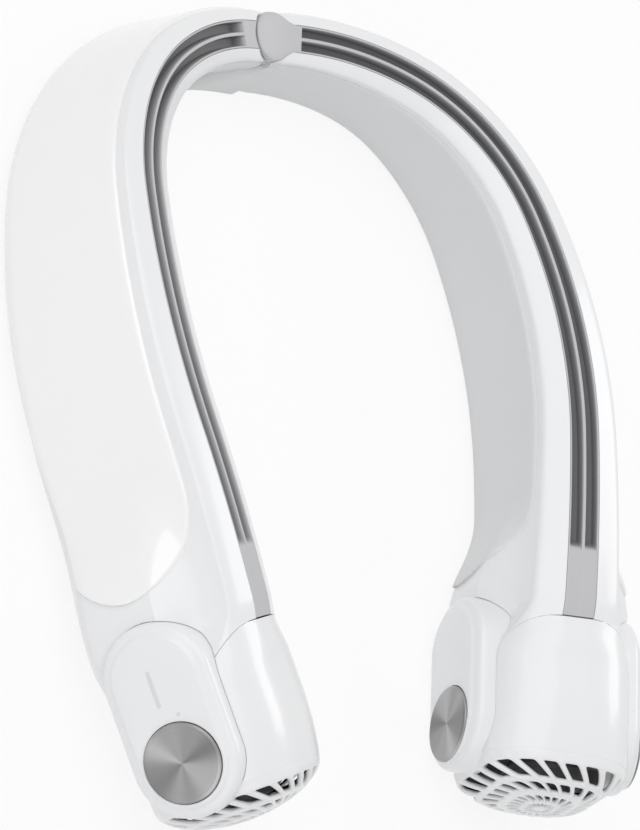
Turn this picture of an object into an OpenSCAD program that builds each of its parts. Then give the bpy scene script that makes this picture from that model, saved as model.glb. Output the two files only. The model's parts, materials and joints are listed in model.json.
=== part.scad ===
// Bladeless neck fan: two hollow arms hinged behind the neck, each ending in a turbine pod.
// Frame: the fan lies on its lower edge on z = 0, the hinge is towards +Y and the right arm is at +X.

/* [Neck band outline] */
// Radius of the slot line behind the neck
nape_r = 84.8; // [78:1:92]
// Radius of the slot line at each rear corner
corner_r = 62.8; // [58:1:68]
// Radius of the slot line along each side
side_r = 168.8; // [150:1:190]
// Degrees that the nape arc turns
nape_turn = 30.2; // [27:1:33]
// Degrees that each rear corner turns
corner_turn = 49.7; // [46:1:54]
// Degrees that each side arc turns
side_turn = 22.8; // [20:1:26]
// Straight length in front of each side arc
straight_l = 52.7; // [48:1:60]

/* [Band section] */
// Depth of the band at the hinge
nape_depth = 23; // [22:0.5:26]
// Greatest depth of the band
peak_depth = 51.1; // [48:0.5:54]
// Half thickness of the band at the hinge
nape_half = 7; // [7:0.1:8]
// Half thickness of the band at the pods
end_half = 13.4; // [12.6:0.1:14.2]
// Drop of the shoulder at the hinge
nape_drop = 1.6; // [1.4:0.1:2.4]
// Drop of the shoulder at the pods
end_drop = 4.3; // [3.8:0.1:5.4]
// Inward lean of the band at the hinge in degrees
nape_lean = 8.8; // [6:1:10]
// Inward lean of the band at the pods in degrees
end_lean = 20.6; // [18:1:22]
// Wall of the arm shells
wall = 1.8; // [1.4:0.1:2.2]
// Thickness of the outer panels and the inner pads
skin_t = 0.9; // [0.7:0.1:1.2]

/* [Air slots] */
// Half width of the slot strip at the hinge
vent_half_nape = 4; // [3.6:0.1:4.4]
// Half width of the slot strip at the pods
vent_half_end = 4.8; // [4.4:0.1:5.4]
// Depth of the two grooves
groove_depth = 3.4; // [2.5:0.1:4.2]
// Thickness of the rib between the grooves
rib_w = 1; // [0.8:0.1:1.4]
// Length of the plain filler before each pod
filler_l = 19; // [14:1:26]

/* [Pods] */
// Half thickness of a pod
pod_half = 18.7; // [18:0.1:19.4]
// Length of a pod from its seam to the grille rim
pod_l = 39.2; // [38:0.5:43]
// Depth of a pod below the slot line
pod_depth = 44.4; // [43:0.5:47]
// Rise of the pod cover over the slot line
cover_rise = 1.4; // [0.8:0.1:2]
// Length over which the cover seam rounds its corners
seam_r = 9.6; // [8:0.5:12]
// Degrees that a pod turns in from its arm
pod_turn = 2; // [1:1:4]
// Wall of the pod cover
cover_wall = 1.8; // [1.4:0.1:2.2]
// Height of the grille dome
dome_l = 12.4; // [11:0.5:14]
// Wall of the grille
grille_t = 1.6; // [1.2:0.1:2]
// Slots in each ring of the grille
grille_slots = 20; // [16:1:24]

/* [Side caps and discs] */
// Radius of the round ends of a side cap
cap_r = 15; // [14:0.2:15.4]
// Length between the centres of the two round ends
cap_run = 20; // [18:1:22]
// Distance of a disc centre from the pod seam
disc_s = 27.7; // [26.5:0.5:29]
// Depth of a disc centre below the slot line
disc_v = 23.5; // [23:0.5:25]
// Distance of a cap face from the middle of the pod
cap_out = 26.2; // [24.6:0.1:27]
// Upward tilt of a cap face in degrees
cap_tilt = 5; // [3:1:7]
// Wall of a side cap
cap_wall = 1.7; // [1.3:0.1:2.2]
// Radius of a disc
disc_r = 10.8; // [9.8:0.1:11.2]
// Thickness of a disc
disc_t = 1.6; // [1.2:0.1:2.2]
// Travel of the power button
button_travel = 0.6; // [0.4:0.1:0.8]

/* [Hinge] */
// Radius of the hinge barrel
barrel_r = 7; // [6.6:0.1:7]
// Radius of the hinge pin
pin_r = 1.5; // [1.2:0.1:1.8]
// Degrees of the notch at the back of each arm, which lets it open
notch_turn = 10; // [8:1:12]

/* [Turbine] */
// Radius of the impeller
impeller_r = 12.4; // [11.5:0.1:12.6]
// Length of the impeller
impeller_l = 11; // [9:0.5:12]
// Number of blades
blade_count = 11; // [7:1:15]
// Radius of the motor
motor_r = 9; // [8:0.5:10]
// Length of the motor
motor_l = 9.5; // [8:0.5:10]
// Radius of the motor shaft
shaft_r = 1; // [0.8:0.1:1.2]

/* [Charging port] */
// Distance of the port from the hinge along the arm
port_s = 52; // [49:1:58]
// Length of the port bezel
port_l = 17; // [15:0.5:19]
// Width of the port bezel
port_w = 9.6; // [9:0.2:11]

/* [Hidden] */

white = [0.96, 0.96, 0.97];
shell_grey = [0.80, 0.81, 0.83];
vent_grey = [0.58, 0.58, 0.60];

// Facets of round parts
$fn = 64;
// Clearance between parts that touch, and of the turning fits
gap = 0.15;
run_fit = 0.05;
pin_fit = 0.01;
overrun = 1;

// Arc lengths of the slot line, from the hinge to the pod seam
function arc_len(r, a) = r * a * PI / 180;
nape_l = arc_len(nape_r, nape_turn);
corner_l = arc_len(corner_r, corner_turn);
side_l = arc_len(side_r, side_turn);
arc_end = nape_l + corner_l + side_l;
arm_l = arc_end + straight_l;
corner_end_turn = nape_turn + corner_turn;
arm_turn = corner_end_turn + side_turn;
// Length over which the pod turns in from the arm
bend_l = 13;
// Swing of the sine that sets the band depth, in degrees
depth_swing = 115.6;
// Share of the half thickness that the lower round is high
foot_share = 0.62;
// Depth of the flat land that the fan lies on
land = 0.5;
// Extra half thickness low on the band
belly = 0.5;
// Clearance between a shell and the panel or pad on it
skin_lift = 0.16;
// Ball of the end grille: the depth of its middle below the slot line, and its radius
grille_v = (pod_depth - cover_rise) / 2;
rim_half_v = (pod_depth + cover_rise) / 2;
ball_r = (pow(rim_half_v, 2) + pow(dome_l, 2)) / (2 * dome_l);

function lerp(a, b, t) = a + (b - a) * t;
function clamp01(t) = min(1, max(0, t));
function smooth(t) = let (c = clamp01(t)) c * c * (3 - 2 * c);
function along(s) = clamp01(s / arm_l);

// Heading of the slot line: 0 runs along +X, 90 runs along -Y
function heading(s) =
    s < nape_l ? s / nape_l * nape_turn
    : s < nape_l + corner_l ? nape_turn + (s - nape_l) / corner_l * corner_turn
    : s < arc_end ? corner_end_turn + (s - nape_l - corner_l) / side_l * side_turn
    : s < arm_l ? arm_turn
    : arm_turn + clamp01((s - arm_l) / bend_l) * pod_turn;

// Step along an arc from one heading to another
function arc_step(r, a, b) = [r * (sin(b) - sin(a)), r * (cos(b) - cos(a))];
function run_step(l, a) = [l * cos(a), -l * sin(a)];
bend_r = bend_l / (pod_turn * PI / 180);
nape_end_xy = arc_step(nape_r, 0, nape_turn);
corner_end_xy = nape_end_xy + arc_step(corner_r, nape_turn, corner_end_turn);
arc_end_xy = corner_end_xy + arc_step(side_r, corner_end_turn, arm_turn);
arm_end_xy = arc_end_xy + run_step(straight_l, arm_turn);
bend_end_xy = arm_end_xy + arc_step(bend_r, arm_turn, arm_turn + pod_turn);
function plan(s) =
    s < nape_l ? arc_step(nape_r, 0, heading(s))
    : s < nape_l + corner_l ? nape_end_xy + arc_step(corner_r, nape_turn, heading(s))
    : s < arc_end ? corner_end_xy + arc_step(side_r, corner_end_turn, heading(s))
    : s < arm_l ? arc_end_xy + run_step(s - arc_end, arm_turn)
    : s < arm_l + bend_l ? arm_end_xy + arc_step(bend_r, arm_turn, heading(s))
    : bend_end_xy + run_step(s - arm_l - bend_l, arm_turn + pod_turn);

// Share of the change from the arm section to the pod section
flare_lead = 5.7;
flare_l = 19;
function flare(s) = smooth((s - arm_l + flare_lead) / flare_l);
function crown(s) = smooth((s - arm_l) / seam_r);

function lean(s) = lerp(nape_lean, end_lean, along(s));
function arm_depth(s) = nape_depth + (peak_depth - nape_depth) * sin(depth_swing * along(s));
function depth(s) = lerp(arm_depth(s), pod_depth, flare(s));
function half(s) = lerp(lerp(nape_half, end_half, along(s)), pod_half, flare(s));
pod_drop = 10.5;
function drop(s) = lerp(lerp(nape_drop, end_drop, along(s)), pod_drop, flare(s));
function low_half(s) = half(s) + belly * (1 - flare(s));
function vent_half(s) = lerp(vent_half_nape, vent_half_end, along(s));
function rise(s) = cover_rise * crown(s);
function foot(s) = foot_share * low_half(s);

// Height of the slot line, which puts the lower edge on the land
function slot_z(s) = let (f = foot(s), b = low_half(s), a = lean(s))
    (depth(s) - f) * cos(a) + sqrt(pow(b * sin(a), 2) + pow(f * cos(a), 2)) - land;

// Middle of the whole fan along Y, so that the origin is under its centre
nape_back = (nape_half + belly + skin_lift + skin_t) * cos(nape_lean)
    + (nape_depth - foot(0)) * sin(nape_lean);
pod_turn_end = arm_turn + pod_turn;
pod_end_xy = bend_end_xy + run_step(pod_l + dome_l + gap - bend_l, pod_turn_end);
pod_front = pod_end_xy[1] + grille_v * sin(end_lean) * cos(pod_turn_end)
    - ball_r * (1 - sin(pod_turn_end));
mid_y = (nape_back + pod_front) / 2;

// World point of a section point: n outwards, v upwards from the slot line
function place(s, p) = let (h = heading(s), a = lean(s), c = plan(s),
                            out = p[0] * cos(a) - p[1] * sin(a))
    [c[0] + out * sin(h), c[1] + out * cos(h) - mid_y,
     max(0, slot_z(s) + p[0] * sin(a) + p[1] * cos(a))];

function bezier(a, b, c, d, t) =
    a * pow(1 - t, 3) + b * 3 * t * pow(1 - t, 2) + c * 3 * t * t * (1 - t) + d * pow(t, 3);

// Section outline from the slot line down to the lowest point, inset by off
shoulder_steps = 5;
side_steps = 3;
foot_steps = 5;
out_share = 0.6;
down_share = 0.45;
function outline(s, off) =
    let (a = vent_half(s), top = rise(s) - off, w = half(s) - off, b = low_half(s) - off,
         d = drop(s), low = depth(s) - off, f = max(foot(s) - off, wall), fl = flare(s),
         p1 = [a, top], p4 = [w, -d],
         p2 = [lerp(a, w, out_share), top - (1 - fl) * d * foot_share * foot_share],
         p3 = [w, -d * (1 - down_share) + fl * top * down_share],
         p5 = [b, f - low])
    [[0, top],
     for (i = [0:shoulder_steps]) bezier(p1, p2, p3, p4, i / shoulder_steps),
     for (i = [1:side_steps]) lerp(p4, p5, i / side_steps),
     for (i = [1:foot_steps]) let (t = i / foot_steps * 90)
         [b * cos(t), f - low - f * sin(t)]];
last_i = 1 + shoulder_steps + side_steps + foot_steps;
corner_i = 1 + shoulder_steps;
low_i = corner_i + side_steps;

function pick(list, x) = let (i = min(floor(x), len(list) - 2)) lerp(list[i], list[i + 1], x - i);

// Place on the outline of the seam between the shells and the pod cover.
// Past the disc it follows the round end of the side cap, which hides it.
seam_i = corner_i - 0.15;
seam_lap = 1;
seam_gap_share = 0.04;
function side_index(s, v) =
    corner_i + side_steps * (-v - drop(s)) / (depth(s) - foot(s) - drop(s));
function cap_seam_v(s) = let (d = s - arm_l - disc_s, r = cap_r - seam_lap)
    pod_half * sin(cap_tilt) - disc_v + sqrt(max(0, r * r - d * d));
function seam_share(s) = let (q = 1 - clamp01((s - arm_l) / seam_r)) sqrt(1 - q * q);
function seam_at(s) = s <= arm_l ? 1
    : s < arm_l + disc_s ? lerp(1, seam_i, seam_share(s))
    : max(seam_i, side_index(s, cap_seam_v(s)));
function shell_top(s) = s <= arm_l ? 1 : seam_at(s) + seam_gap_share;

// Stations along an arm
function spread(a, b, n) = [for (i = [1:n]) lerp(a, b, i / n)];
barrel_room = barrel_r + 4 * gap;
// Plain end of the slot strip, and the length over which its grooves reach full depth
vent_end_l = 4;
vent_start_l = 3;
nape_stop = barrel_room + overrun;
groove_s = nape_stop + vent_end_l + vent_start_l;
arm_stations = concat([nape_stop, nape_stop + vent_end_l, groove_s], spread(groove_s, nape_l, 2),
                      spread(nape_l, nape_l + corner_l, 6), spread(nape_l + corner_l, arc_end, 6),
                      spread(arc_end, arm_l - flare_lead, 4), [arm_l]);
pod_shares = [0.02, 0.06, 0.14, 0.24, 0.36, 0.52, 0.7, 0.8, 0.88, 0.95, 1];
pod_stations = [for (k = pod_shares) arm_l + k * pod_l];

// Closed solid between an outer and an inner grid of points, rows by columns
module thick_patch(outer, inner) {
    r = len(outer);
    c = len(outer[0]);
    k = r * c;
    function at(i, j) = i * c + j;
    points = concat([for (row = outer) for (p = row) p], [for (row = inner) for (p = row) p]);
    faces = concat(
        [for (i = [0:r - 2]) for (j = [0:c - 2]) each
            [[at(i, j), at(i, j + 1), at(i + 1, j)], [at(i, j + 1), at(i + 1, j + 1), at(i + 1, j)]]],
        [for (i = [0:r - 2]) for (j = [0:c - 2]) each
            [[k + at(i, j), k + at(i + 1, j), k + at(i, j + 1)],
             [k + at(i, j + 1), k + at(i + 1, j), k + at(i + 1, j + 1)]]],
        [for (j = [0:c - 2]) each
            [[at(0, j), k + at(0, j), at(0, j + 1)], [at(0, j + 1), k + at(0, j), k + at(0, j + 1)],
             [at(r - 1, j), at(r - 1, j + 1), k + at(r - 1, j)],
             [at(r - 1, j + 1), k + at(r - 1, j + 1), k + at(r - 1, j)]]],
        [for (i = [0:r - 2]) each
            [[at(i, 0), at(i + 1, 0), k + at(i, 0)], [at(i + 1, 0), k + at(i + 1, 0), k + at(i, 0)],
             [at(i, c - 1), k + at(i, c - 1), at(i + 1, c - 1)],
             [at(i + 1, c - 1), k + at(i, c - 1), k + at(i + 1, c - 1)]]]);
    polyhedron(points, faces, convexity = 10);
}

// One side of a part, and its mirror image for the left arm
module side_of(side) {
    if (side < 0) mirror([1, 0, 0]) children();
    else children();
}

// Frames: x outwards across the band, y back along the arm, z up from the slot line
module at_station(s) {
    c = plan(s);
    translate([c[0], c[1] - mid_y, slot_z(s)])
        rotate([0, 0, 90 - heading(s)]) rotate([0, -lean(s), 0]) children();
}
module in_pod() {
    c = bend_end_xy - run_step(bend_l, pod_turn_end);
    translate([c[0], c[1] - mid_y, slot_z(arm_l + pod_l)])
        rotate([0, 0, 90 - pod_turn_end]) rotate([0, -end_lean, 0]) children();
}
// Frame of a side cap: x along the outward normal of its face, from the pod's middle
module in_cap(face) {
    in_pod() mirror([face < 0 ? 1 : 0, 0, 0])
        translate([0, -disc_s, -disc_v]) rotate([0, -cap_tilt, 0]) children();
}
module cyl_x(r, x0, x1) {
    translate([x0, 0, 0]) rotate([0, 90, 0]) cylinder(r = r, h = x1 - x0);
}
module cyl_back(r, y0, y1) {
    translate([0, y0, 0]) rotate([-90, 0, 0]) cylinder(r = r, h = y1 - y0);
}
// Prism with two round ends along y, from x0 to x1
module slot_prism(r, run, x0, x1) {
    cyl_x(r, x0, x1);
    translate([0, run, 0]) cyl_x(r, x0, x1);
    translate([x0, 0, -r]) cube([x1 - x0, run, 2 * r]);
}
cap_base = 13.4;
cap_edge = 2.4;
module cap_window() {
    slot_prism(cap_r + gap, cap_run, cap_base - overrun, cap_out + overrun);
}
module cap_windows(side) {
    side_of(side) {
        in_cap(1) cap_window();
        in_cap(-1) cap_window();
    }
}

// Start of a shell at the hinge, hollowed round the barrel and notched to open
function start_s(n) =
    max(sqrt(max(0, barrel_room * barrel_room - n * n)), max(0, n) * tan(notch_turn) + 2 * gap);
function flip(p, face) = [face * p[0], p[1]];
// Point x of the outline, where the shell of that face starts
function start_point(x, off, face) =
    let (s = start_s(face * pick(outline(0, off), x)[0])) place(s, flip(pick(outline(s, off), x), face));

module half_shell(face) {
    stations = concat(arm_stations, pod_stations);
    function row(s, off) = [for (j = [0:last_i - 1])
        place(s, flip(pick(outline(s, off), lerp(shell_top(s), last_i, j / (last_i - 1))), face))];
    function start_row(off) = [for (j = [1:last_i]) start_point(j, off, face)];
    o = concat([start_row(0)], [for (s = stations) row(s, 0)]);
    i = concat([start_row(wall)], [for (s = stations) row(s, wall)]);
    if (face > 0) thick_patch(i, o);
    else thick_patch(o, i);
}

module arm_shell(side, face) {
    color(white) side_of(side) difference() {
        half_shell(face);
        in_cap(face) cap_window();
        if (side > 0 && face > 0) port_window();
    }
}

// Panels and pads: skins on the shells with a round lower end
skin_round = 13.4;
skin_end = arm_l - skin_round;
skin_top_i = corner_i + 0.2;
skin_low_i = low_i + 2;
skin_end_shares = [0, 0.35, 0.65, 0.85, 0.95, 0.99];
skin_stations = concat([for (s = arm_stations) if (s < skin_end - skin_round - overrun) s],
                       [for (k = skin_end_shares) skin_end - skin_round * (1 - k)]);
module skin(face) {
    cols = 6;
    mid_i = (skin_top_i + skin_low_i) / 2;
    function spread_i(s) = let (q = clamp01((s - skin_end + skin_round) / skin_round))
        (skin_low_i - skin_top_i) / 2 * sqrt(1 - q * q);
    function index(s, j) = mid_i + spread_i(s) * (2 * j / (cols - 1) - 1);
    function row(s, off) = [for (j = [0:cols - 1])
        place(s, flip(pick(outline(s, off), index(s, j)), face))];
    function start_row(off) = [for (j = [0:cols - 1]) start_point(index(0, j), off, face)];
    o = concat([start_row(-skin_t)], [for (s = skin_stations) row(s, -skin_t)]);
    i = concat([start_row(-skin_lift)], [for (s = skin_stations) row(s, -skin_lift)]);
    if (face > 0) thick_patch(i, o);
    else thick_patch(o, i);
}
module outer_panel(side) {
    color(white) side_of(side) difference() {
        skin(1);
        if (side > 0) port_window();
    }
}
module inner_pad(side) {
    color(shell_grey) side_of(side) skin(-1);
}

// Grey slot strip with two grooves and a thin rib, plain at both ends
vent_floor = 1.4;
groove_least = 0.02;
lip_share = 0.4;
function groove(s) = max(groove_least, groove_depth * smooth((s - nape_stop - vent_end_l) / vent_start_l)
    * smooth((arm_l - filler_l - s) / vent_end_l));
vent_stations = concat([nape_stop + vent_end_l, groove_s],
                       [for (s = arm_stations) if (s > groove_s && s < arm_l - filler_l - 3 * vent_end_l) s],
                       [for (k = [2, 1, 0.5, 0]) arm_l - filler_l - k * vent_end_l], [arm_l - gap]);
function vent_ring(s) =
    let (a = vent_half(s) - gap, g = groove(s), r = rib_w / 2, t = a - rib_w / 2,
         low = groove_depth + vent_floor)
    [[-a, 0], [-t, -g * lip_share], [-t, -g], [-r, -g], [-r, 0], [r, 0], [r, -g], [t, -g],
     [t, -g * lip_share], [a, 0], [a, -low], [0, -low], [-a, -low]];
module slot_vent(side) {
    rings = concat([[for (p = vent_ring(0)) place(start_s(p[0]), p)]],
                   [for (s = vent_stations) [for (p = vent_ring(s)) place(s, p)]]);
    r = len(rings);
    c = len(rings[0]);
    mid = c - 2;
    points = [for (ring = rings) for (p = ring) p];
    body = [for (i = [0:r - 2]) for (j = [0:c - 1]) let (k = (j + 1) % c) each
        [[i * c + j, i * c + k, (i + 1) * c + j], [i * c + k, (i + 1) * c + k, (i + 1) * c + j]]];
    end = concat([for (j = [0:3]) [j, j + 1, mid + 1]], [[4, mid, mid + 1], [4, 5, mid], [5, mid - 1, mid]],
                 [for (j = [5:8]) [j, j + 1, mid - 1]]);
    color(vent_grey) side_of(side)
        polyhedron(points, concat([for (f = end) [f[2], f[1], f[0]]], body,
                                  [for (f = end) [for (k = f) k + (r - 1) * c]]), convexity = 10);
}

// Glossy front of a pod, between the two seams
module pod_cover(side) {
    cols = 8;
    stations = concat([arm_l], pod_stations);
    function point(s, off, x) = flip(pick(outline(s, off), abs(x)), x < 0 ? -1 : 1);
    function row(s, off) = [for (j = [-cols:cols]) place(s, point(s, off, j / cols * seam_at(s)))];
    color(white) side_of(side) difference() {
        thick_patch([for (s = stations) row(s, cover_wall)], [for (s = stations) row(s, 0)]);
        in_cap(1) cap_window();
        in_cap(-1) cap_window();
    }
}

// Domed end grille: rings of slanted slots in a ball-shaped end with the pod's own outline
rim_shares = [0.3, 0.45, 0.6, 0.75, 0.9];
open_share = 0.66;
grille_rib = 1.1;
slot_slant = 10;
module rim_shape(off) {
    right = outline(arm_l + pod_l, off);
    polygon(concat(right, [for (i = [last_i - 1:-1:1]) flip(right[i], -1)]));
}
module on_rim() {
    in_pod() translate([0, -pod_l - gap, 0]) rotate([90, 0, 0]) children();
}
module grille_ball(r) {
    translate([0, -grille_v, dome_l - ball_r]) sphere(r = r, $fn = 96);
}
module grille_slots_2d() {
    step = 360 / grille_slots;
    rib = grille_rib / pod_half / 2;
    w = step * open_share / 2;
    for (k = [0:len(rim_shares) - 2]) {
        q0 = rim_shares[k] + rib;
        q1 = rim_shares[k + 1] - rib;
        for (i = [0:grille_slots - 1]) {
            a = i * step + k * slot_slant;
            polygon([for (p = [[q0, -w], [q0, w], [q1, w + slot_slant], [q1, slot_slant - w]])
                [p[0] * pod_half * cos(a + p[1]), p[0] * rim_half_v * sin(a + p[1]) - grille_v]]);
        }
    }
}
// Block under the whole floor
floor_half = 180;
module below_floor() {
    translate([-floor_half, -floor_half, -floor_half]) cube([2 * floor_half, 2 * floor_half, floor_half]);
}
module end_grille(side) {
    color(white) difference() {
        side_of(side) on_rim() difference() {
            intersection() {
                grille_ball(ball_r);
                linear_extrude(height = dome_l + overrun) rim_shape(0);
            }
            intersection() {
                grille_ball(ball_r - grille_t);
                translate([0, 0, -overrun]) linear_extrude(height = dome_l) rim_shape(grille_t);
            }
            linear_extrude(height = dome_l + overrun) grille_slots_2d();
        }
        cap_windows(side);
        below_floor();
    }
}

// Side cap: hollow capsule with a seat for its disc
disc_gap = 0.15;
stem_r = 2;
module side_cap(side, face) {
    run_x = cap_out - cap_edge;
    color(white) side_of(side) in_cap(face) difference() {
        union() {
            slot_prism(cap_r, cap_run, cap_base, run_x);
            for (y = [0, cap_run]) translate([run_x, y, 0]) rotate([0, 90, 0])
                cylinder(r1 = cap_r, r2 = cap_r - cap_edge, h = cap_edge);
            translate([run_x, cap_run, 0]) rotate([90, 0, 0]) linear_extrude(height = cap_run)
                polygon([[0, -cap_r], [cap_edge, cap_edge - cap_r], [cap_edge, cap_r - cap_edge],
                         [0, cap_r]]);
        }
        slot_prism(cap_r - cap_wall, cap_run, cap_base - overrun, run_x - disc_t - gap);
        cyl_x(disc_r + disc_gap, cap_out - disc_t - button_travel - gap, cap_out + overrun);
        if (side < 0 && face > 0) {
            cyl_x(stem_r + disc_gap, cap_base, cap_out);
            translate([0, bar_y, bar_z]) slot_prism(bar_r + run_fit, bar_run, cap_base, cap_out + overrun);
            translate([0, dot_y, dot_z]) cyl_x(dot_r + run_fit, cap_base, cap_out + overrun);
        }
    }
}
// Brushed metal disc, flush with the cap face
module disc(side, face) {
    color("silver") side_of(side) in_cap(face) disc_body(cap_out - disc_t - button_travel);
}
disc_edge = 0.4;
module disc_body(x0) {
    cyl_x(disc_r, x0, cap_out);
    translate([cap_out, 0, 0]) rotate([0, 90, 0])
        cylinder(r1 = disc_r, r2 = disc_r - disc_edge, h = disc_edge);
}

// Power button: the left outer disc on a stem, over a sprung switch
board_x = cap_base + 2 * gap;
board_t = 1;
switch_x = board_x + board_t;
switch_w = 6;
switch_h = 2.4;
plunger_r = 1.6;
plate_t = 0.3;
plunger_top = switch_x + switch_h + plate_t + button_travel;
dome_r = 2.1;
dome_h = 0.22;
dome_t = 0.08;
module power_button() {
    x0 = cap_out - disc_t;
    color("silver") side_of(-1) in_cap(1) {
        disc_body(x0);
        cyl_x(stem_r, plunger_top, x0 + disc_edge);
    }
}
module switch_plunger() {
    color("dimgray") side_of(-1) in_cap(1)
        cyl_x(plunger_r, switch_x + button_travel + 2 * gap, plunger_top);
}
module switch_body() {
    color("dimgray") side_of(-1) in_cap(1) difference() {
        translate([switch_x, -switch_w / 2, -switch_w / 2]) cube([switch_h, switch_w, switch_w]);
        cyl_x(plunger_r + run_fit, switch_x - overrun, switch_x + switch_h + overrun);
        cyl_x(dome_r + gap, switch_x - overrun, switch_x + dome_h + gap);
    }
}
// Steel plate that keeps the plunger in the switch, and the snap dome under it
module switch_plate() {
    x0 = switch_x + switch_h;
    color("silver") side_of(-1) in_cap(1) difference() {
        translate([x0, -switch_w / 2, -switch_w / 2]) cube([plate_t, switch_w, switch_w]);
        cyl_x(plunger_r + run_fit, x0 - overrun, x0 + overrun);
    }
}
module snap_cone(x0) {
    translate([x0, 0, 0]) rotate([0, 90, 0]) cylinder(r1 = dome_r, r2 = dome_r / 2, h = dome_h);
}
module switch_dome() {
    color("silver") side_of(-1) in_cap(1) difference() {
        snap_cone(switch_x);
        snap_cone(switch_x - dome_t);
    }
}
board_r = cap_r - cap_wall - gap;
module control_board() {
    color("darkgreen") side_of(-1) in_cap(1) slot_prism(board_r, cap_run, board_x, switch_x);
}
// Indicator window and lamp above the power button
bar_y = 16;
bar_z = -1;
bar_run = 9;
bar_r = 0.6;
dot_y = 12.4;
dot_z = 3.4;
dot_r = 0.6;
lens_t = 3.4;
module indicator_bar() {
    color("whitesmoke") side_of(-1) in_cap(1) translate([0, bar_y, bar_z])
        slot_prism(bar_r, bar_run, cap_out - lens_t, cap_out);
}
module indicator_dot() {
    color("whitesmoke") side_of(-1) in_cap(1) translate([0, dot_y, dot_z])
        cyl_x(dot_r, cap_out - lens_t, cap_out);
}

// Turbine: its axis runs along the pod through the middle of the grille
axis_v = grille_v;
impeller_lead = 2.5;
impeller_y = pod_l - impeller_lead;
hub_r = 4;
back_t = 1.2;
blade_t = 0.8;
shroud_t = 0.8;
nose_t = 2;
blade_sweep = 38;
module on_axis() {
    in_pod() translate([0, 0, -axis_v]) children();
}
module blade_2d() {
    n = 6;
    function arm_at(k, side) = let (r = lerp(hub_r, impeller_r, k / n) - shroud_t / 2,
                                    a = blade_sweep * k / n)
        [r * cos(a) - side * blade_t / 2 * sin(a + blade_sweep / 2),
         r * sin(a) + side * blade_t / 2 * cos(a + blade_sweep / 2)];
    polygon(concat([for (k = [0:n]) arm_at(k, -1)], [for (k = [n:-1:0]) arm_at(k, 1)]));
}
module impeller(side) {
    color("gainsboro") side_of(side) on_axis() translate([0, -impeller_y, 0]) rotate([-90, 0, 0])
        difference() {
            union() {
                cylinder(r = hub_r, h = impeller_l);
                translate([0, 0, impeller_l - back_t]) cylinder(r = impeller_r, h = back_t);
                linear_extrude(height = impeller_l) for (i = [0:blade_count - 1])
                    rotate(i * 360 / blade_count) blade_2d();
                difference() {
                    cylinder(r = impeller_r, h = impeller_l / 4);
                    translate([0, 0, -overrun])
                        cylinder(r = impeller_r - shroud_t, h = impeller_l);
                }
            }
            translate([0, 0, nose_t]) cylinder(r = shaft_r + pin_fit, h = impeller_l);
        }
}
motor_gap = 0.8;
shaft_front = impeller_y - nose_t - 2 * gap;
motor_y1 = impeller_y - impeller_l - motor_gap;
motor_y0 = motor_y1 - motor_l;
module motor_shaft(side) {
    color("silver") side_of(side) on_axis() cyl_back(shaft_r, -shaft_front, -motor_y0 - gap);
}
bracket_t = 1.6;
screw_count = 3;
screw_pitch_r = 6;
screw_r = 0.8;
screw_l = 2.8;
head_r = 1.4;
head_t = 0.8;
module motor(side) {
    color("dimgray") side_of(side) on_axis() difference() {
        cyl_back(motor_r, -motor_y1, -motor_y0);
        cyl_back(shaft_r + run_fit, -motor_y1 - overrun, -motor_y0 + overrun);
        motor_holes(screw_r, -motor_y0 - screw_l - gap, -motor_y0 + overrun);
    }
}
module motor_holes(r, y0, y1) {
    for (i = [0:screw_count - 1]) rotate([0, 90 + i * 360 / screw_count, 0])
        translate([screw_pitch_r, 0, 0]) cyl_back(r, y0, y1);
}
// Plate that carries the motor between the side caps, the cover and the shell floor
bracket_leg = 7;
bracket_gap = 0.5;
bracket_side_gap = 1.9;
leg_lift = 3.8;
leg_top_gap = 2.2;
air_hole_r = 2.2;
air_hole_at = 8.6;
module motor_bracket(side) {
    w = cap_base - bracket_gap;
    cut_x = cap_base - bracket_side_gap;
    y0 = -motor_y0 + run_fit;
    color("lightgrey") side_of(side) on_axis() difference() {
        intersection() {
            union() {
                cyl_back(w, y0, y0 + bracket_t);
                translate([-bracket_leg, y0, leg_lift - (pod_depth - axis_v)])
                    cube([2 * bracket_leg, bracket_t, pod_depth - leg_lift - leg_top_gap]);
            }
            translate([-cut_x, y0 - overrun, -pod_depth])
                cube([2 * cut_x, bracket_t + 2 * overrun, 2 * pod_depth]);
        }
        cyl_back(shaft_r + 2 * gap, y0 - overrun, y0 + bracket_t + overrun);
        motor_holes(screw_r + run_fit, y0 - overrun, y0 + bracket_t + overrun);
        for (i = [0:screw_count - 1]) rotate([0, 30 + i * 360 / screw_count, 0])
            translate([air_hole_at, 0, 0]) cyl_back(air_hole_r, y0 - overrun, y0 + bracket_t + overrun);
    }
}
module motor_screws(side) {
    y0 = -motor_y0 + run_fit;
    color("silver") side_of(side) on_axis() {
        motor_holes(screw_r - run_fit / 2, y0 - screw_l, y0 + bracket_t + run_fit);
        motor_holes(head_r, y0 + bracket_t + run_fit / 2, y0 + bracket_t + head_t);
    }
}
// Mouth ring between the grille and the impeller
mouth_t = 1.4;
mouth_r = impeller_r - mouth_t;
module intake_ring(side) {
    color("gainsboro") difference() {
        side_of(side) on_rim() difference() {
            translate([0, 0, -2 * gap - mouth_t]) linear_extrude(height = mouth_t)
                rim_shape(wall + 2 * gap);
            translate([0, -grille_v, -2 * gap - 2 * mouth_t]) cylinder(r = mouth_r, h = 3 * mouth_t);
        }
        cap_windows(side);
    }
}

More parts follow.
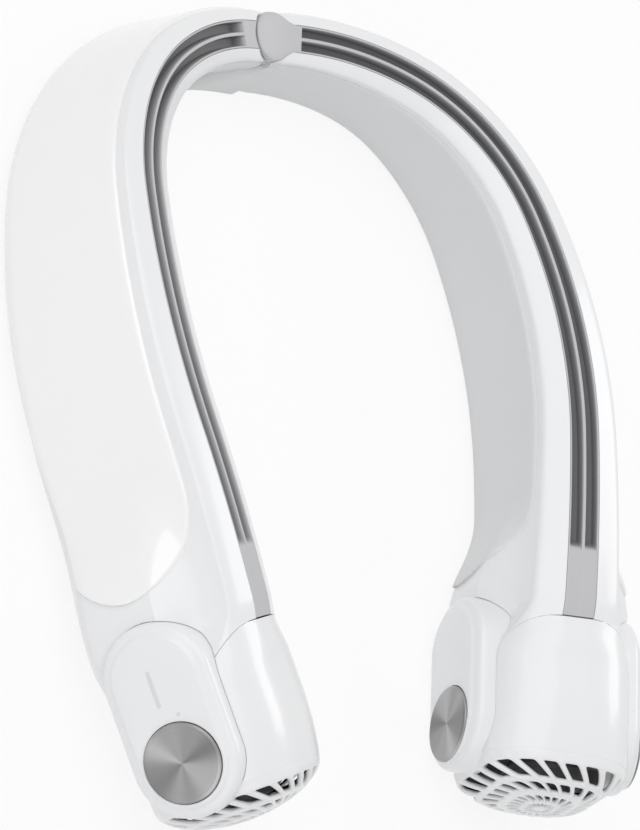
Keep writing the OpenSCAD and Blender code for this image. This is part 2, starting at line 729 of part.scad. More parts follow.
// Floor of the air duct, and the battery cell under it
duct_l = 42;
duct_v = 12;
duct_t = 1;
cell_l = 38;
cell_w = 10;
cell_h = 22;
bay_lead = 21;
bay_s = arm_l - straight_l + bay_lead;
module duct_floor(side) {
    w = half(bay_s - duct_l / 2) - wall - 2 * gap;
    color("gainsboro") side_of(side) at_station(bay_s)
        translate([-w, -duct_l / 2, -duct_v - duct_t]) cube([2 * w, duct_l, duct_t]);
}
module battery(side) {
    color("slategray") side_of(side) at_station(bay_s)
        translate([0, cell_l / 2, -duct_v - duct_t - gap - cell_h / 2]) rotate([90, 0, 0])
            linear_extrude(height = cell_l) {
                square([cell_w, cell_h - cell_w], center = true);
                for (v = [-1, 1]) translate([0, v * (cell_h - cell_w) / 2]) circle(r = cell_w / 2);
            }
}

// Hinge: the barrel is fixed in the right arm and the knuckle in the left arm
barrel_top = 0.6;
washer_gap = 0.45;
washer_edge = 2;
barrel_lift = 1.6;
barrel_low = nape_depth - barrel_lift;
knuckle_top = 8.6;
knuckle_low = 16;
washer_t = 0.4;
tongue_t = 5;
tongue_l = 12;
tongue_top = 6.8;
tongue_low = 17;
cap_seat = 1.2;
module in_hinge() {
    at_station(0) rotate([0, 0, -90]) children();
}
module up(z) {
    translate([0, 0, z]) children();
}
block_s = barrel_r + 2 * gap + overrun + tongue_l / 2;
// Web between a knuckle and its block, towards the right arm for dir = 1
module tongue(dir, v0, v1) {
    x1 = block_s;
    translate([dir > 0 ? 0 : -x1, -tongue_t / 2, v0]) cube([x1, tongue_t, v1 - v0]);
}
// Block that the shells of one arm clamp
module block(dir) {
    w = nape_half - wall - 3 * gap;
    low = -tongue_low - slot_z(block_s) + slot_z(0);
    side_of(dir) at_station(block_s)
        translate([-w, -tongue_l / 2, low]) cube([2 * w, tongue_l, tongue_low - tongue_top]);
}
module hinge_barrel() {
    color(vent_grey) difference() {
        union() {
            in_hinge() {
                up(-knuckle_top) cylinder(r = barrel_r, h = knuckle_top - cap_seat);
                up(-barrel_low) cylinder(r = barrel_r, h = barrel_low - knuckle_low);
                tongue(1, -knuckle_top, -tongue_top + overrun);
                tongue(1, -tongue_low - overrun, -knuckle_low);
            }
            block(1);
        }
        in_hinge() up(-barrel_low + overrun) cylinder(r = pin_r + pin_fit, h = barrel_low);
    }
}
module hinge_knuckle() {
    low = -knuckle_low + washer_gap;
    high = -knuckle_top - washer_gap;
    color(vent_grey) difference() {
        union() {
            in_hinge() {
                up(low) cylinder(r = barrel_r, h = high - low);
                tongue(-1, low, high);
            }
            block(-1);
        }
        in_hinge() up(-barrel_low) cylinder(r = pin_r + run_fit, h = barrel_low);
    }
}
module hinge_pin() {
    color("silver") in_hinge() up(-barrel_low + overrun + gap)
        cylinder(r = pin_r, h = barrel_low - overrun - gap - cap_seat - gap);
}
module hinge_washers() {
    color("goldenrod") in_hinge() for (v = [knuckle_top + washer_t + run_fit / 2, knuckle_low - run_fit / 2])
        up(-v) difference() {
            cylinder(r = barrel_r - washer_edge, h = washer_t);
            up(-overrun) cylinder(r = pin_r + run_fit, h = 3 * overrun);
        }
}
module hinge_cap() {
    color(vent_grey) in_hinge() {
        up(-cap_seat + run_fit) cylinder(r = barrel_r, h = cap_seat);
        up(run_fit) cylinder(r1 = barrel_r, r2 = barrel_r - barrel_top, h = barrel_top);
    }
}

// Charging port on the outer face of the right arm
port_v = depth(port_s) / 2;
port_x = half(port_s) + skin_t + belly / 2;
bezel_in = 6;
cover_t = 1.5;
cover_in = 1;
socket_w = 8.9;
socket_h = 3.2;
socket_l = 6.5;
socket_wall = 0.3;
socket_back = 1;
module in_port() {
    at_station(port_s) translate([0, 0, -port_v]) children();
}
// Stadium prism centred on the port
module port_prism(l, w, x0, x1) {
    translate([0, -(l - w) / 2, 0]) slot_prism(w / 2, l - w, x0, x1);
}
module port_window() {
    in_port() port_prism(port_l + 2 * gap, port_w + 2 * gap, port_x - bezel_in, port_x + 3 * overrun);
}
module port_bezel() {
    color(shell_grey) in_port() difference() {
        port_prism(port_l, port_w, port_x - bezel_in + overrun, port_x + gap);
        port_prism(port_l - 2 * cover_in + 2 * gap, port_w - 2 * cover_in + 2 * gap,
                   port_x - cover_t, port_x + overrun);
        port_prism(socket_w + gap, socket_h + gap, port_x - bezel_in, port_x);
    }
}
module charge_socket() {
    color("silver") in_port() difference() {
        port_prism(socket_w, socket_h, port_x - cover_t - socket_l, port_x - cover_t - gap);
        port_prism(socket_w - 2 * socket_wall, socket_h - 2 * socket_wall,
                   port_x - cover_t - socket_l + socket_back, port_x);
    }
}
module port_cover() {
    color("gainsboro") in_port()
        port_prism(port_l - 2 * cover_in, port_w - 2 * cover_in, port_x - cover_t + gap, port_x);
}

arm_shell(1, 1);  // arm_outer_shell_right
arm_shell(1, -1);  // arm_inner_shell_right
outer_panel(1);  // outer_panel_right
inner_pad(1);  // inner_pad_right
slot_vent(1);  // slot_vent_right
pod_cover(1);  // pod_cover_right
end_grille(1);  // end_grille_right
side_cap(1, 1);  // side_cap_outer_right
side_cap(1, -1);  // side_cap_inner_right
disc(1, 1);  // disc_outer_right
disc(1, -1);  // disc_inner_right
impeller(1);  // impeller_right
motor(1);  // motor_right
motor_shaft(1);  // motor_shaft_right
motor_bracket(1);  // motor_bracket_right
motor_screws(1);  // motor_screws_right
intake_ring(1);  // intake_ring_right
duct_floor(1);  // duct_floor_right
battery(1);  // battery_right
arm_shell(-1, 1);  // arm_outer_shell_left
arm_shell(-1, -1);  // arm_inner_shell_left
outer_panel(-1);  // outer_panel_left
inner_pad(-1);  // inner_pad_left
slot_vent(-1);  // slot_vent_left
pod_cover(-1);  // pod_cover_left
end_grille(-1);  // end_grille_left
side_cap(-1, 1);  // side_cap_outer_left
side_cap(-1, -1);  // side_cap_inner_left
power_button();
disc(-1, -1);  // disc_inner_left
impeller(-1);  // impeller_left
motor(-1);  // motor_left
motor_shaft(-1);  // motor_shaft_left
motor_bracket(-1);  // motor_bracket_left
motor_screws(-1);  // motor_screws_left
intake_ring(-1);  // intake_ring_left
duct_floor(-1);  // duct_floor_left
battery(-1);  // battery_left
hinge_barrel();
hinge_knuckle();
hinge_pin();
hinge_washers();
hinge_cap();
port_bezel();
charge_socket();
port_cover();
control_board();
switch_body();
switch_plunger();
switch_dome();
switch_plate();
indicator_bar();
indicator_dot();
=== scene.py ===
# Neck fan: smooth shells, grooved strips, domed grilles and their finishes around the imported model.
import json
import math

import bmesh
import bpy
import numpy as np
from mathutils import Matrix, Vector


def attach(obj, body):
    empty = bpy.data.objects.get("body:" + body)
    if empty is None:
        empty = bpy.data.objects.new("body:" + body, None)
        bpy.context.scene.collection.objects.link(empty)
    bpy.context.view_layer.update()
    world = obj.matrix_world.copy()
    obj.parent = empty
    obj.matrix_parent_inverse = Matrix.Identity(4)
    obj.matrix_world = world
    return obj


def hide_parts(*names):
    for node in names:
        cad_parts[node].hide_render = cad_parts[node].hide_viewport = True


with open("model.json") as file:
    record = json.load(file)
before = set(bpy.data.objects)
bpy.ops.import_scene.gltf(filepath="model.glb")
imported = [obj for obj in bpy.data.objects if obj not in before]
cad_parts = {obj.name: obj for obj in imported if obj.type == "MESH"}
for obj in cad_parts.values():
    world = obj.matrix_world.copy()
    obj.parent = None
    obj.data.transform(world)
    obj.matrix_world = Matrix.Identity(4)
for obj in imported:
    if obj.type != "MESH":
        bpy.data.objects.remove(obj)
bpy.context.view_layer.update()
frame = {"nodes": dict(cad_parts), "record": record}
cadNodes = frame["nodes"]
milli = 0.001
print("frame loaded")

# Camera
cameraView = {  # metres, and the focal length in pixels of the 640 x 830 frame
    "place": (-0.99117, -0.30149, 1.02773),
    "right": (0.72782, -0.15812, 0.66729),
    "up": (-0.02799, 0.9654, 0.25928),
    "back": (-0.6852, -0.20738, 0.69821),
    "focal": 5203.6,
    "longSide": 830,
    "sensor": 36,
    "clip": (0.05, 20),
}


def linkNew(name, data):
    made = bpy.data.objects.new(name, data)
    bpy.context.scene.collection.objects.link(made)
    return made


def makeCamera():
    data = bpy.data.cameras.new("camera")
    cam = linkNew("camera", data)
    data.sensor_width = cameraView["sensor"]
    data.sensor_fit = "AUTO"
    data.lens = cameraView["focal"] * cameraView["sensor"] / cameraView["longSide"]
    data.clip_start, data.clip_end = cameraView["clip"]
    turn = Matrix((cameraView["right"], cameraView["up"], cameraView["back"])).transposed()
    cam.matrix_world = Matrix.Translation(cameraView["place"]) @ turn.to_quaternion().to_matrix().to_4x4()
    bpy.context.scene.camera = cam


makeCamera()
print("camera placed")

# Shader expressions


class Wire:
    # One socket of a shader, so that materials can be written as sums
    def __init__(self, tree, socket=None):
        self.tree, self.socket = tree, socket

    def node(self, kind, settings=None, values=None, output=0):
        made = self.tree.nodes.new(kind)
        for key, value in (settings or {}).items():
            setattr(made, key, value)
        for key, value in (values or {}).items():
            if isinstance(value, Wire):
                self.tree.links.new(value.socket, made.inputs[key])
            else:
                made.inputs[key].default_value = value
        return Wire(self.tree, made.outputs[output])

    def math(self, operation, *others):
        return self.node("ShaderNodeMath", {"operation": operation}, dict(enumerate((self, *others))))

    def __add__(self, other):
        return self.math("ADD", other)

    def __sub__(self, other):
        return self.math("SUBTRACT", other)

    def __mul__(self, other):
        return self.math("MULTIPLY", other)

    __radd__ = __add__
    __rmul__ = __mul__

    def mixColour(self, first, second):
        # self is the factor from 0 to 1
        tones = [t if isinstance(t, Wire) else (*t, 1) for t in (first, second)]
        return self.node("ShaderNodeMix", {"data_type": "RGBA"}, {0: self, 6: tones[0], 7: tones[1]}, output=2)


def newMaterial(name, **sockets):
    # A plain shader with these constants, its start in object space, and the way to feed its sockets
    made = bpy.data.materials.new(name)
    made.use_nodes = True
    shader = made.node_tree.nodes["Principled BSDF"]
    labels = {"roughness": "Roughness", "metallic": "Metallic", "coat": "Coat Weight",
              "coatRoughness": "Coat Roughness"}
    for key, value in sockets.items():
        shader.inputs[labels[key]].default_value = value
    start = Wire(made.node_tree)
    start.spot = start.node("ShaderNodeTexCoord", output=3)

    def feed(label, wire):
        made.node_tree.links.new(wire.socket, shader.inputs[label])

    return made, start, feed


def speckle(start, scale, detail=3, roughness=0.55):
    return start.node("ShaderNodeTexNoise", None,
                      {"Vector": start.spot, "Scale": scale, "Detail": detail, "Roughness": roughness})


def bump(start, height, strength, distance):
    return start.node("ShaderNodeBump", None, {"Height": height, "Strength": strength, "Distance": distance})


plasticFinishes = {  # colour, roughness, grain size (1/m), grain bump (m), tone change, coat
    "whiteShell": dict(colour=(0.88, 0.885, 0.895), roughness=0.32, grain=900, height=0.00002, tone=0.015, coat=0.35),
    "glossPanel": dict(colour=(0.96, 0.96, 0.962), roughness=0.14, grain=260, height=0.00002, tone=0.01, coat=0.7),
    "neckPad": dict(colour=(0.79, 0.795, 0.8), roughness=0.52, grain=2600, height=0.00004, tone=0.03, coat=0.0),
    "bezelGrey": dict(colour=(0.62, 0.63, 0.65), roughness=0.35, grain=1200, height=0.00002, tone=0.02, coat=0.2),
    "portRubber": dict(colour=(0.5, 0.51, 0.53), roughness=0.62, grain=3200, height=0.00005, tone=0.03, coat=0.0),
    "innerPlastic": dict(colour=(0.06, 0.06, 0.062), roughness=0.45, grain=1500, height=0.00003, tone=0.04, coat=0.0),
    # the dark finish serves real dark plastic parts, and also painted shade on the insides of shells, covers, grilles
    # and caps
    "darkPlasticAndShade": dict(colour=(0.025, 0.025, 0.028), roughness=0.5, grain=1800, height=0.00004, tone=0.3, coat=0.0),
    "cellWrap": dict(colour=(0.07, 0.12, 0.25), roughness=0.25, grain=300, height=0.00006, tone=0.1, coat=0.5),
    "milkyLens": dict(colour=(0.74, 0.75, 0.765), roughness=0.3, grain=700, height=0.00001, tone=0.02, coat=0.3),
}
plasticGrain = {"cloudSize": 38, "cloudShare": 0.6, "roughnessSwing": 0.08, "bump": 0.6, "coatRoughness": 0.08}


def plastic(name):
    facts, common = plasticFinishes[name], plasticGrain
    made, start, feed = newMaterial(name, roughness=facts["roughness"], coat=facts["coat"],
                                    coatRoughness=common["coatRoughness"])
    cloud = speckle(start, common["cloudSize"], 2)
    grain = speckle(start, facts["grain"])
    low = tuple(c * (1 - facts["tone"]) for c in facts["colour"])
    share = cloud * common["cloudShare"] + grain * (1 - common["cloudShare"])
    feed("Base Color", share.mixColour(low, facts["colour"]))
    feed("Roughness", facts["roughness"] + (grain - 0.5) * common["roughnessSwing"])
    feed("Normal", bump(start, grain, common["bump"], facts["height"]))
    return made


ventTone = {
    # the strip's own grey at the lip, and painted shade down to the groove's floor
    "lip": (0.56, 0.56, 0.575), "grooveShade": (0.13, 0.13, 0.135), "fleck": (0.3, 0.3, 0.3), "fleckShare": 0.06,
    "fall": 0.8,  # power on the groove's depth
    "roughness": 0.38, "roughnessSwing": 0.12, "grain": 2400, "bump": 0.5, "height": 0.00003,
}


def ventMaterial():
    # The strip is painted darker down its grooves as shade, by the depth written on its points
    facts = ventTone
    made, start, feed = newMaterial("ventGrey")
    grain = speckle(start, facts["grain"])
    grooveShade = start.node("ShaderNodeAttribute", {"attribute_name": "depthShare"}, output=2)
    tone = grooveShade.math("POWER", facts["fall"]).mixColour(facts["lip"], facts["grooveShade"])
    feed("Base Color", (grain * facts["fleckShare"]).mixColour(tone, facts["fleck"]))
    feed("Roughness", facts["roughness"] + grain * facts["roughnessSwing"])
    feed("Normal", bump(start, grain, facts["bump"], facts["height"]))
    return made


discTone = {
    "dark": 0.2, "light": 0.5, "contrast": 1.2, "metallic": 0.85,
    # painted reflection wedges, light and dark: how many, share of the disc's own turn, start and weight
    "reflectionWedges": [(2, 1, 0, 0.55), (4, 1.7, 0.8, 0.3), (7, 0, 1.1, 0.15)],
    "fine": 4200, "fineShare": 0.09, "roughness": 0.3, "roughnessSwing": 0.14,
    "rings": 9000, "bump": 0.35, "ringHeight": 0.000012, "blue": 1.01,
}


def spunMetal(name, frameMatrix, turn):
    # Rings round the disc's own centre, and soft light and dark wedges painted into the colour as the reflections of
    # spun metal
    facts = discTone
    made, start, feed = newMaterial(name, metallic=facts["metallic"])
    inverse = frameMatrix.inverted()
    axes = []
    for row in (1, 2):  # the two directions in the disc's face
        dot = start.node("ShaderNodeVectorMath", {"operation": "DOT_PRODUCT"},
                         {0: start.spot, 1: Vector(inverse[row][:3])}, output=1)
        axes.append(dot + inverse[row][3])
    u, w = axes
    angle = w.math("ARCTAN2", u)
    radius = (u * u + w * w).math("SQRT")
    reflectionWedges = [((angle * many + (turn * own + first)).math("SINE") * 0.5 + 0.5) * weight
             for many, own, first, weight in facts["reflectionWedges"]]
    share = (reflectionWedges[0] + reflectionWedges[1] + reflectionWedges[2]).math("POWER", facts["contrast"])
    fine = start.node("ShaderNodeTexNoise", {"noise_dimensions": "1D"},
                      {"W": radius * facts["fine"], "Scale": 1.0, "Detail": 2})
    tone = share * (facts["light"] - facts["dark"]) + facts["dark"] + (fine - 0.5) * facts["fineShare"]
    feed("Base Color", start.node("ShaderNodeCombineColor", None, {0: tone, 1: tone, 2: tone * facts["blue"]}))
    feed("Roughness", facts["roughness"] + fine * facts["roughnessSwing"])
    feed("Normal", bump(start, (radius * facts["rings"]).math("SINE"), facts["bump"], facts["ringHeight"]))
    return made


metalFinishes = {  # colour, roughness and scratch size
    "steel": dict(colour=(0.55, 0.55, 0.56), roughness=0.28, scratch=900),
    "brass": dict(colour=(0.62, 0.45, 0.2), roughness=0.32, scratch=700),
}
scratchLook = {"stretch": 0.12, "dark": 0.8, "roughnessSwing": 0.15, "bump": 0.4, "height": 0.00002}


def metal(name):
    facts, common = metalFinishes[name], scratchLook
    made, start, feed = newMaterial(name, metallic=1.0)
    stretched = start.node("ShaderNodeMapping", None, {"Vector": start.spot, "Scale": (1, 1, common["stretch"])})
    lines = start.node("ShaderNodeTexNoise", None, {"Vector": stretched, "Scale": facts["scratch"], "Detail": 4})
    dark = tuple(c * common["dark"] for c in facts["colour"])
    feed("Base Color", lines.mixColour(dark, facts["colour"]))
    feed("Roughness", facts["roughness"] + lines * common["roughnessSwing"])
    feed("Normal", bump(start, lines, common["bump"], common["height"]))
    return made


boardTone = {
    "cells": 420, "track": 0.08, "mask": (0.01, 0.07, 0.03), "line": (0.05, 0.2, 0.09),
    "roughness": 0.3, "coat": 0.4, "bump": 0.5, "height": 0.00003,
}


def boardMaterial():
    facts = boardTone
    made, start, feed = newMaterial("board", roughness=facts["roughness"], coat=facts["coat"])
    tracks = start.node("ShaderNodeTexVoronoi", {"feature": "DISTANCE_TO_EDGE"},
                        {"Vector": start.spot, "Scale": facts["cells"]})
    track = tracks.math("LESS_THAN", facts["track"])
    feed("Base Color", track.mixColour(facts["mask"], facts["line"]))
    feed("Normal", bump(start, track, facts["bump"], facts["height"]))
    return made


finishes = {name: plastic(name) for name in plasticFinishes}
finishes.update({name: metal(name) for name in metalFinishes})
finishes["ventGrey"] = ventMaterial()
finishes["board"] = boardMaterial()
slotFinish = {  # the record's slots, and the finish that each takes
    "white_shell": "whiteShell", "panel_gloss": "glossPanel", "neck_pad": "neckPad", "vent_grey": "ventGrey",
    "inner_plastic": "innerPlastic", "dark_plastic": "darkPlasticAndShade", "steel": "steel", "cell_wrap": "cellWrap",
    "hinge_grey": "ventGrey", "washer_brass": "brass", "bezel_grey": "bezelGrey", "port_rubber": "portRubber",
    "board": "board", "lens": "milkyLens",
}
print("finishes made")

# The band's own section, in mm and degrees: s runs along an arm from the hinge, n outwards and v upwards
band = {
    "napeR": 84.8, "cornerR": 62.8, "sideR": 168.8, "napeTurn": 30.2, "cornerTurn": 49.7, "sideTurn": 22.8,
    "straightL": 52.7, "podTurn": 2, "bendL": 13, "hingeY": 107.277,
    "napeDepth": 23, "peakDepth": 51.1, "depthSwing": 115.6, "podDepth": 44.4, "hingeSoft": 5,
    "napeHalf": 7, "endHalf": 13.4, "podHalf": 21.5, "napeDrop": 1.6, "endDrop": 4.3, "podDrop": 10.5,
    "napeLean": 8.8, "endLean": 20.6, "belly": 0.5, "footShare": 0.62, "land": 0.5, "flareLead": 5.7, "flareL": 19,
    "wall": 1.8, "coverWall": 1.8, "skinT": 0.9, "gap": 0.15, "barrelR": 7, "notchTurn": 10,
    "ventNape": 4, "ventEnd": 4.8, "grooveDepth": 3.4, "ribW": 1, "fillerL": 19,
    "podL": 39.2, "coverRise": 1.4, "seamR": 9.6, "domeL": 10.6, "portS": 52,
    "capR": 15.2, "capEnd": 22.6, "capTilt": 5, "discS": 28.9, "discV": 23.5,
}
b = type("Band", (), band)
capShape = {  # per pod and face: where the lower round end is centred, and how far the face stands out
    ("right", 1): (2.2, 26.4), ("right", -1): (2.2, 28.2), ("left", 1): (0.0, 28.2), ("left", -1): (2.2, 28.2),
}
shoulder = {"reach": 0.6, "fall": 0.55, "carry": 0.45}  # handles of the curve from the slot's lip to the side
swellLook = {  # how the shell rises to the side caps along the arm, up and down from the caps' middle line
    "out": 23.4, "run": 42, "lead": 8, "stop": 26, "stopRun": 20, "middle": 1.5,
    "up": 14, "upFade": 13, "down": 31, "downFade": 14, "side": 1.6, "sideStart": 0.4,
    "squeezeRun": 18, "squeeze": 0.09,  # the pod's top draws in towards its end
}


def sinD(a):
    return math.sin(math.radians(a))


def cosD(a):
    return math.cos(math.radians(a))


def lerp(p, q, t):
    return p + (q - p) * t


def clamp01(t):
    return min(1.0, max(0.0, t))


def smooth(t):
    t = clamp01(t)
    return t * t * (3 - 2 * t)


def arcStep(r, a, c):
    return np.array([r * (sinD(c) - sinD(a)), r * (cosD(c) - cosD(a))])


def runStep(length, a):
    return np.array([length * cosD(a), -length * sinD(a)])


napeL = math.radians(b.napeTurn) * b.napeR
cornerL = math.radians(b.cornerTurn) * b.cornerR
sideL = math.radians(b.sideTurn) * b.sideR
cornerEnd = napeL + cornerL
arcEnd = cornerEnd + sideL
armL = arcEnd + b.straightL
cornerHeading = b.napeTurn + b.cornerTurn
armHeading = cornerHeading + b.sideTurn
podHeading = armHeading + b.podTurn
bendR = b.bendL / math.radians(b.podTurn)
napeEndXy = arcStep(b.napeR, 0, b.napeTurn)
cornerEndXy = napeEndXy + arcStep(b.cornerR, b.napeTurn, cornerHeading)
arcEndXy = cornerEndXy + arcStep(b.sideR, cornerHeading, armHeading)
armEndXy = arcEndXy + runStep(b.straightL, armHeading)
bendEndXy = armEndXy + arcStep(bendR, armHeading, podHeading)
grilleV = (b.podDepth - b.coverRise) / 2


def heading(s):
    if s < napeL:
        return s / napeL * b.napeTurn
    if s < cornerEnd:
        return b.napeTurn + (s - napeL) / cornerL * b.cornerTurn
    if s < arcEnd:
        return cornerHeading + (s - cornerEnd) / sideL * b.sideTurn
    return armHeading + clamp01((s - armL) / b.bendL) * b.podTurn


def plan(s):
    h = heading(s)
    if s < napeL:
        return arcStep(b.napeR, 0, h)
    if s < cornerEnd:
        return napeEndXy + arcStep(b.cornerR, b.napeTurn, h)
    if s < arcEnd:
        return cornerEndXy + arcStep(b.sideR, cornerHeading, h)
    if s < armL:
        return arcEndXy + runStep(s - arcEnd, armHeading)
    if s < armL + b.bendL:
        return armEndXy + arcStep(bendR, armHeading, h)
    return bendEndXy + runStep(s - armL - b.bendL, podHeading)


def along(s):
    return clamp01(s / armL)


def flare(s):
    return smooth((s - armL + b.flareLead) / b.flareL)


def rise(s):
    return b.coverRise * smooth((s - armL) / b.seamR)


def lean(s):
    return lerp(b.napeLean, b.endLean, along(s))


def depth(s):
    soft = along(math.hypot(s, b.hingeSoft))
    return lerp(b.napeDepth + (b.peakDepth - b.napeDepth) * sinD(b.depthSwing * soft), b.podDepth, flare(s))


def half(s):
    return lerp(lerp(b.napeHalf, b.endHalf, along(s)), b.podHalf, flare(s))


def drop(s):
    return lerp(lerp(b.napeDrop, b.endDrop, along(s)), b.podDrop, flare(s))


def lowHalf(s):
    return half(s) + b.belly * (1 - flare(s))


def ventHalf(s):
    return lerp(b.ventNape, b.ventEnd, along(s))


def slotZ(s):
    f, w, a = b.footShare * lowHalf(s), lowHalf(s), lean(s)
    return (depth(s) - f) * cosD(a) + math.hypot(w * sinD(a), f * cosD(a)) - b.land


def place(s, n, v):
    # Point of a section: n outwards, v upwards from the slot line, for the right arm
    h, a, c = heading(s), lean(s), plan(s)
    out = n * cosD(a) - v * sinD(a)
    return (c[0] + out * sinD(h), c[1] + out * cosD(h) + b.hingeY, max(0.0, slotZ(s) + n * sinD(a) + v * cosD(a)))


cornerI, lowI, lastI = 6, 9, 14  # shoulder end, side end and lowest point of a section


def swell(s, n, v):
    # The shell rises up to the side cap, and the end of the pod draws in
    w = swellLook
    rising = smooth((s - armL + w["run"]) / (w["run"] - w["lead"])) * smooth((armL + w["stop"] - s) / w["stopRun"])
    away = v + b.discV - w["middle"]
    beside = smooth((w["up"] - away) / w["upFade"]) if away > 0 else smooth((w["down"] + away) / w["downFade"])
    n += max(0.0, w["out"] - half(s)) * rising * beside * smooth(n / half(s) * w["side"] - w["sideStart"])
    t = clamp01((s - armL - b.podL + w["squeezeRun"]) / w["squeezeRun"])
    if v > -grilleV:
        v = (v + grilleV) * (1 - w["squeeze"] * t * t) - grilleV
    return n, v


def plainSection(s, i, off):
    # Outline from the slot line (0) round the shoulder and the side to the lowest point
    a, top, w, low = ventHalf(s), rise(s) - off, half(s) - off, depth(s) - off
    wide, d, fl = lowHalf(s) - off, drop(s), flare(s)
    f = max(b.footShare * lowHalf(s) - off, b.wall)
    if i <= 1:
        return a * i, top
    if i <= cornerI:
        t = (i - 1) / (cornerI - 1)
        xs = (a, lerp(a, w, shoulder["reach"]), w, w)
        ys = (top, top - (1 - fl) * d * b.footShare ** 2, -d * shoulder["fall"] + fl * top * shoulder["carry"], -d)
        k = ((1 - t) ** 3, 3 * t * (1 - t) ** 2, 3 * t * t * (1 - t), t ** 3)
        return sum(x * q for x, q in zip(xs, k)), sum(y * q for y, q in zip(ys, k))
    if i <= lowI:
        t = (i - cornerI) / (lowI - cornerI)
        return lerp(w, wide, t), lerp(-d, f - low, t)
    t = (i - lowI) / (lastI - lowI) * 90
    return wide * cosD(t), f - low - f * sinD(t)


def section(s, i, off=0.0):
    n, v = plainSection(s, i, off)
    return swell(s, n, v) if s > armL - swellLook["run"] else (n, v)


seamCorner = cornerI - 0.15


def seamAt(s):
    # Place on the outline of the seam between the shells and a pod cover
    if s <= armL:
        return 1.0
    q = 1 - clamp01((s - armL) / b.seamR)
    if s < armL + b.discS:
        return lerp(1, seamCorner, math.sqrt(1 - q * q))
    r = b.capR - 1
    d = s - armL - b.discS
    v = b.podHalf * sinD(b.capTilt) - b.discV + math.sqrt(max(0.0, r * r - d * d))
    side = (-v - drop(s)) / (depth(s) - b.footShare * lowHalf(s) - drop(s))
    return max(seamCorner, cornerI + (lowI - cornerI) * side)


def startS(n, room):
    # Where a shell starts at the hinge: round the barrel, and notched at the back so that it can open
    notch = max(0.0, n) * math.tan(math.radians(b.notchTurn)) + 2 * b.gap
    return max(math.sqrt(max(0.0, room * room - n * n)), notch)


# Mesh helpers
sideSign = {"right": 1, "left": -1}


def addPiece(name, points, faces, side="right", matrix=None, shadeFaces=(), merge=True):
    # points in mm, for the right arm; the left arm's are mirrored
    mesh = bpy.data.meshes.new(name)
    mesh.from_pydata([tuple(c * milli for c in p) for p in points], [], [tuple(f) for f in faces])
    # the marked faces take the dark finish as painted shade
    if shadeFaces:
        for finishName in ("whiteShell", "darkPlasticAndShade"):
            mesh.materials.append(finishes[finishName])
        for k in shadeFaces:
            mesh.polygons[k].material_index = 1
    if matrix is not None:
        mesh.transform(matrix)
    if side == "left":
        mesh.transform(Matrix.Scale(-1, 4, (1, 0, 0)))
    work = bmesh.new()
    work.from_mesh(mesh)
    if merge:
        bmesh.ops.remove_doubles(work, verts=work.verts, dist=1e-7)
    bmesh.ops.recalc_face_normals(work, faces=work.faces)
    work.to_mesh(mesh)
    work.free()
    return linkNew(name, mesh)


def gridFaces(rows, cols, start=0, closed=False):
    wide = cols if closed else cols - 1
    return [(start + i * cols + j, start + i * cols + (j + 1) % cols, start + (i + 1) * cols + (j + 1) % cols,
             start + (i + 1) * cols + j) for i in range(rows - 1) for j in range(wide)]


def thickPatch(name, outer, inner, side, dark=False):
    # Closed solid between two grids of points, rows by columns; dark marks its inner faces, which take dark plastic as
    # painted shade inside the arms and pods
    r, c = len(outer), len(outer[0])
    points = [p for row in outer for p in row] + [p for row in inner for p in row]
    k = r * c
    last = (r - 1) * c
    faces = gridFaces(r, c) + gridFaces(r, c, k)
    for j in range(c - 1):
        faces += [(q, q + 1, k + q + 1, k + q) for q in (j, last + j)]
    for i in range(r - 1):
        for j in (0, c - 1):
            p, q = i * c + j, (i + 1) * c + j
            faces.append((p, q, k + q, k + p))
    many = (r - 1) * (c - 1)
    return addPiece(name, points, faces, side, shadeFaces=range(many, 2 * many) if dark else ())


def tubeFaces(rows, cols):
    # Closed rings one after the other, with a face over each end
    return gridFaces(rows, cols, closed=True) + [tuple(row * cols + k for k in range(cols)) for row in (0, rows - 1)]


def lathe(name, profile, steps, matrix, side="right"):
    # profile: (radius, x) pairs turned round the x axis of matrix; the ends close on the axis
    turns = [2 * math.pi * k / steps for k in range(steps)]
    points = [(x, r * math.cos(t), r * math.sin(t)) for r, x in profile for t in turns]
    return addPiece(name, points, tubeFaces(len(profile), steps), side, matrix)


def applyModifiers(piece):
    done = bpy.data.meshes.new_from_object(piece.evaluated_get(bpy.context.evaluated_depsgraph_get()))
    piece.modifiers.clear()
    piece.data = done


def settle(piece, sharp=35, weighted=False):
    # Smooths the shading up to the sharp angle in degrees; weighted lets the large faces lead, where a cut
    # leaves slivers
    if piece.modifiers:
        applyModifiers(piece)
    piece.data.polygons.foreach_set("use_smooth", [True] * len(piece.data.polygons))
    piece.data.set_sharp_from_angle(angle=math.radians(sharp))
    if weighted:
        m = piece.modifiers.new("lead", "WEIGHTED_NORMAL")
        m.mode, m.keep_sharp, m.weight = "FACE_AREA", True, 50
        applyModifiers(piece)
    return piece


def bevel(piece, width, segments=2, angle=40):
    m = piece.modifiers.new("bevel", "BEVEL")
    m.width, m.segments, m.limit_method, m.angle_limit = width * milli, segments, "ANGLE", math.radians(angle)
    m.harden_normals = False


def carve(piece, cutters, weighted=False):
    # Takes the cutters out of the piece, settles it and drops them
    for cutter in cutters:
        m = piece.modifiers.new("cut", "BOOLEAN")
        m.operation, m.object, m.solver = "DIFFERENCE", cutter, "MANIFOLD"
    settle(piece, weighted=weighted)
    for cutter in cutters:
        bpy.data.objects.remove(cutter)


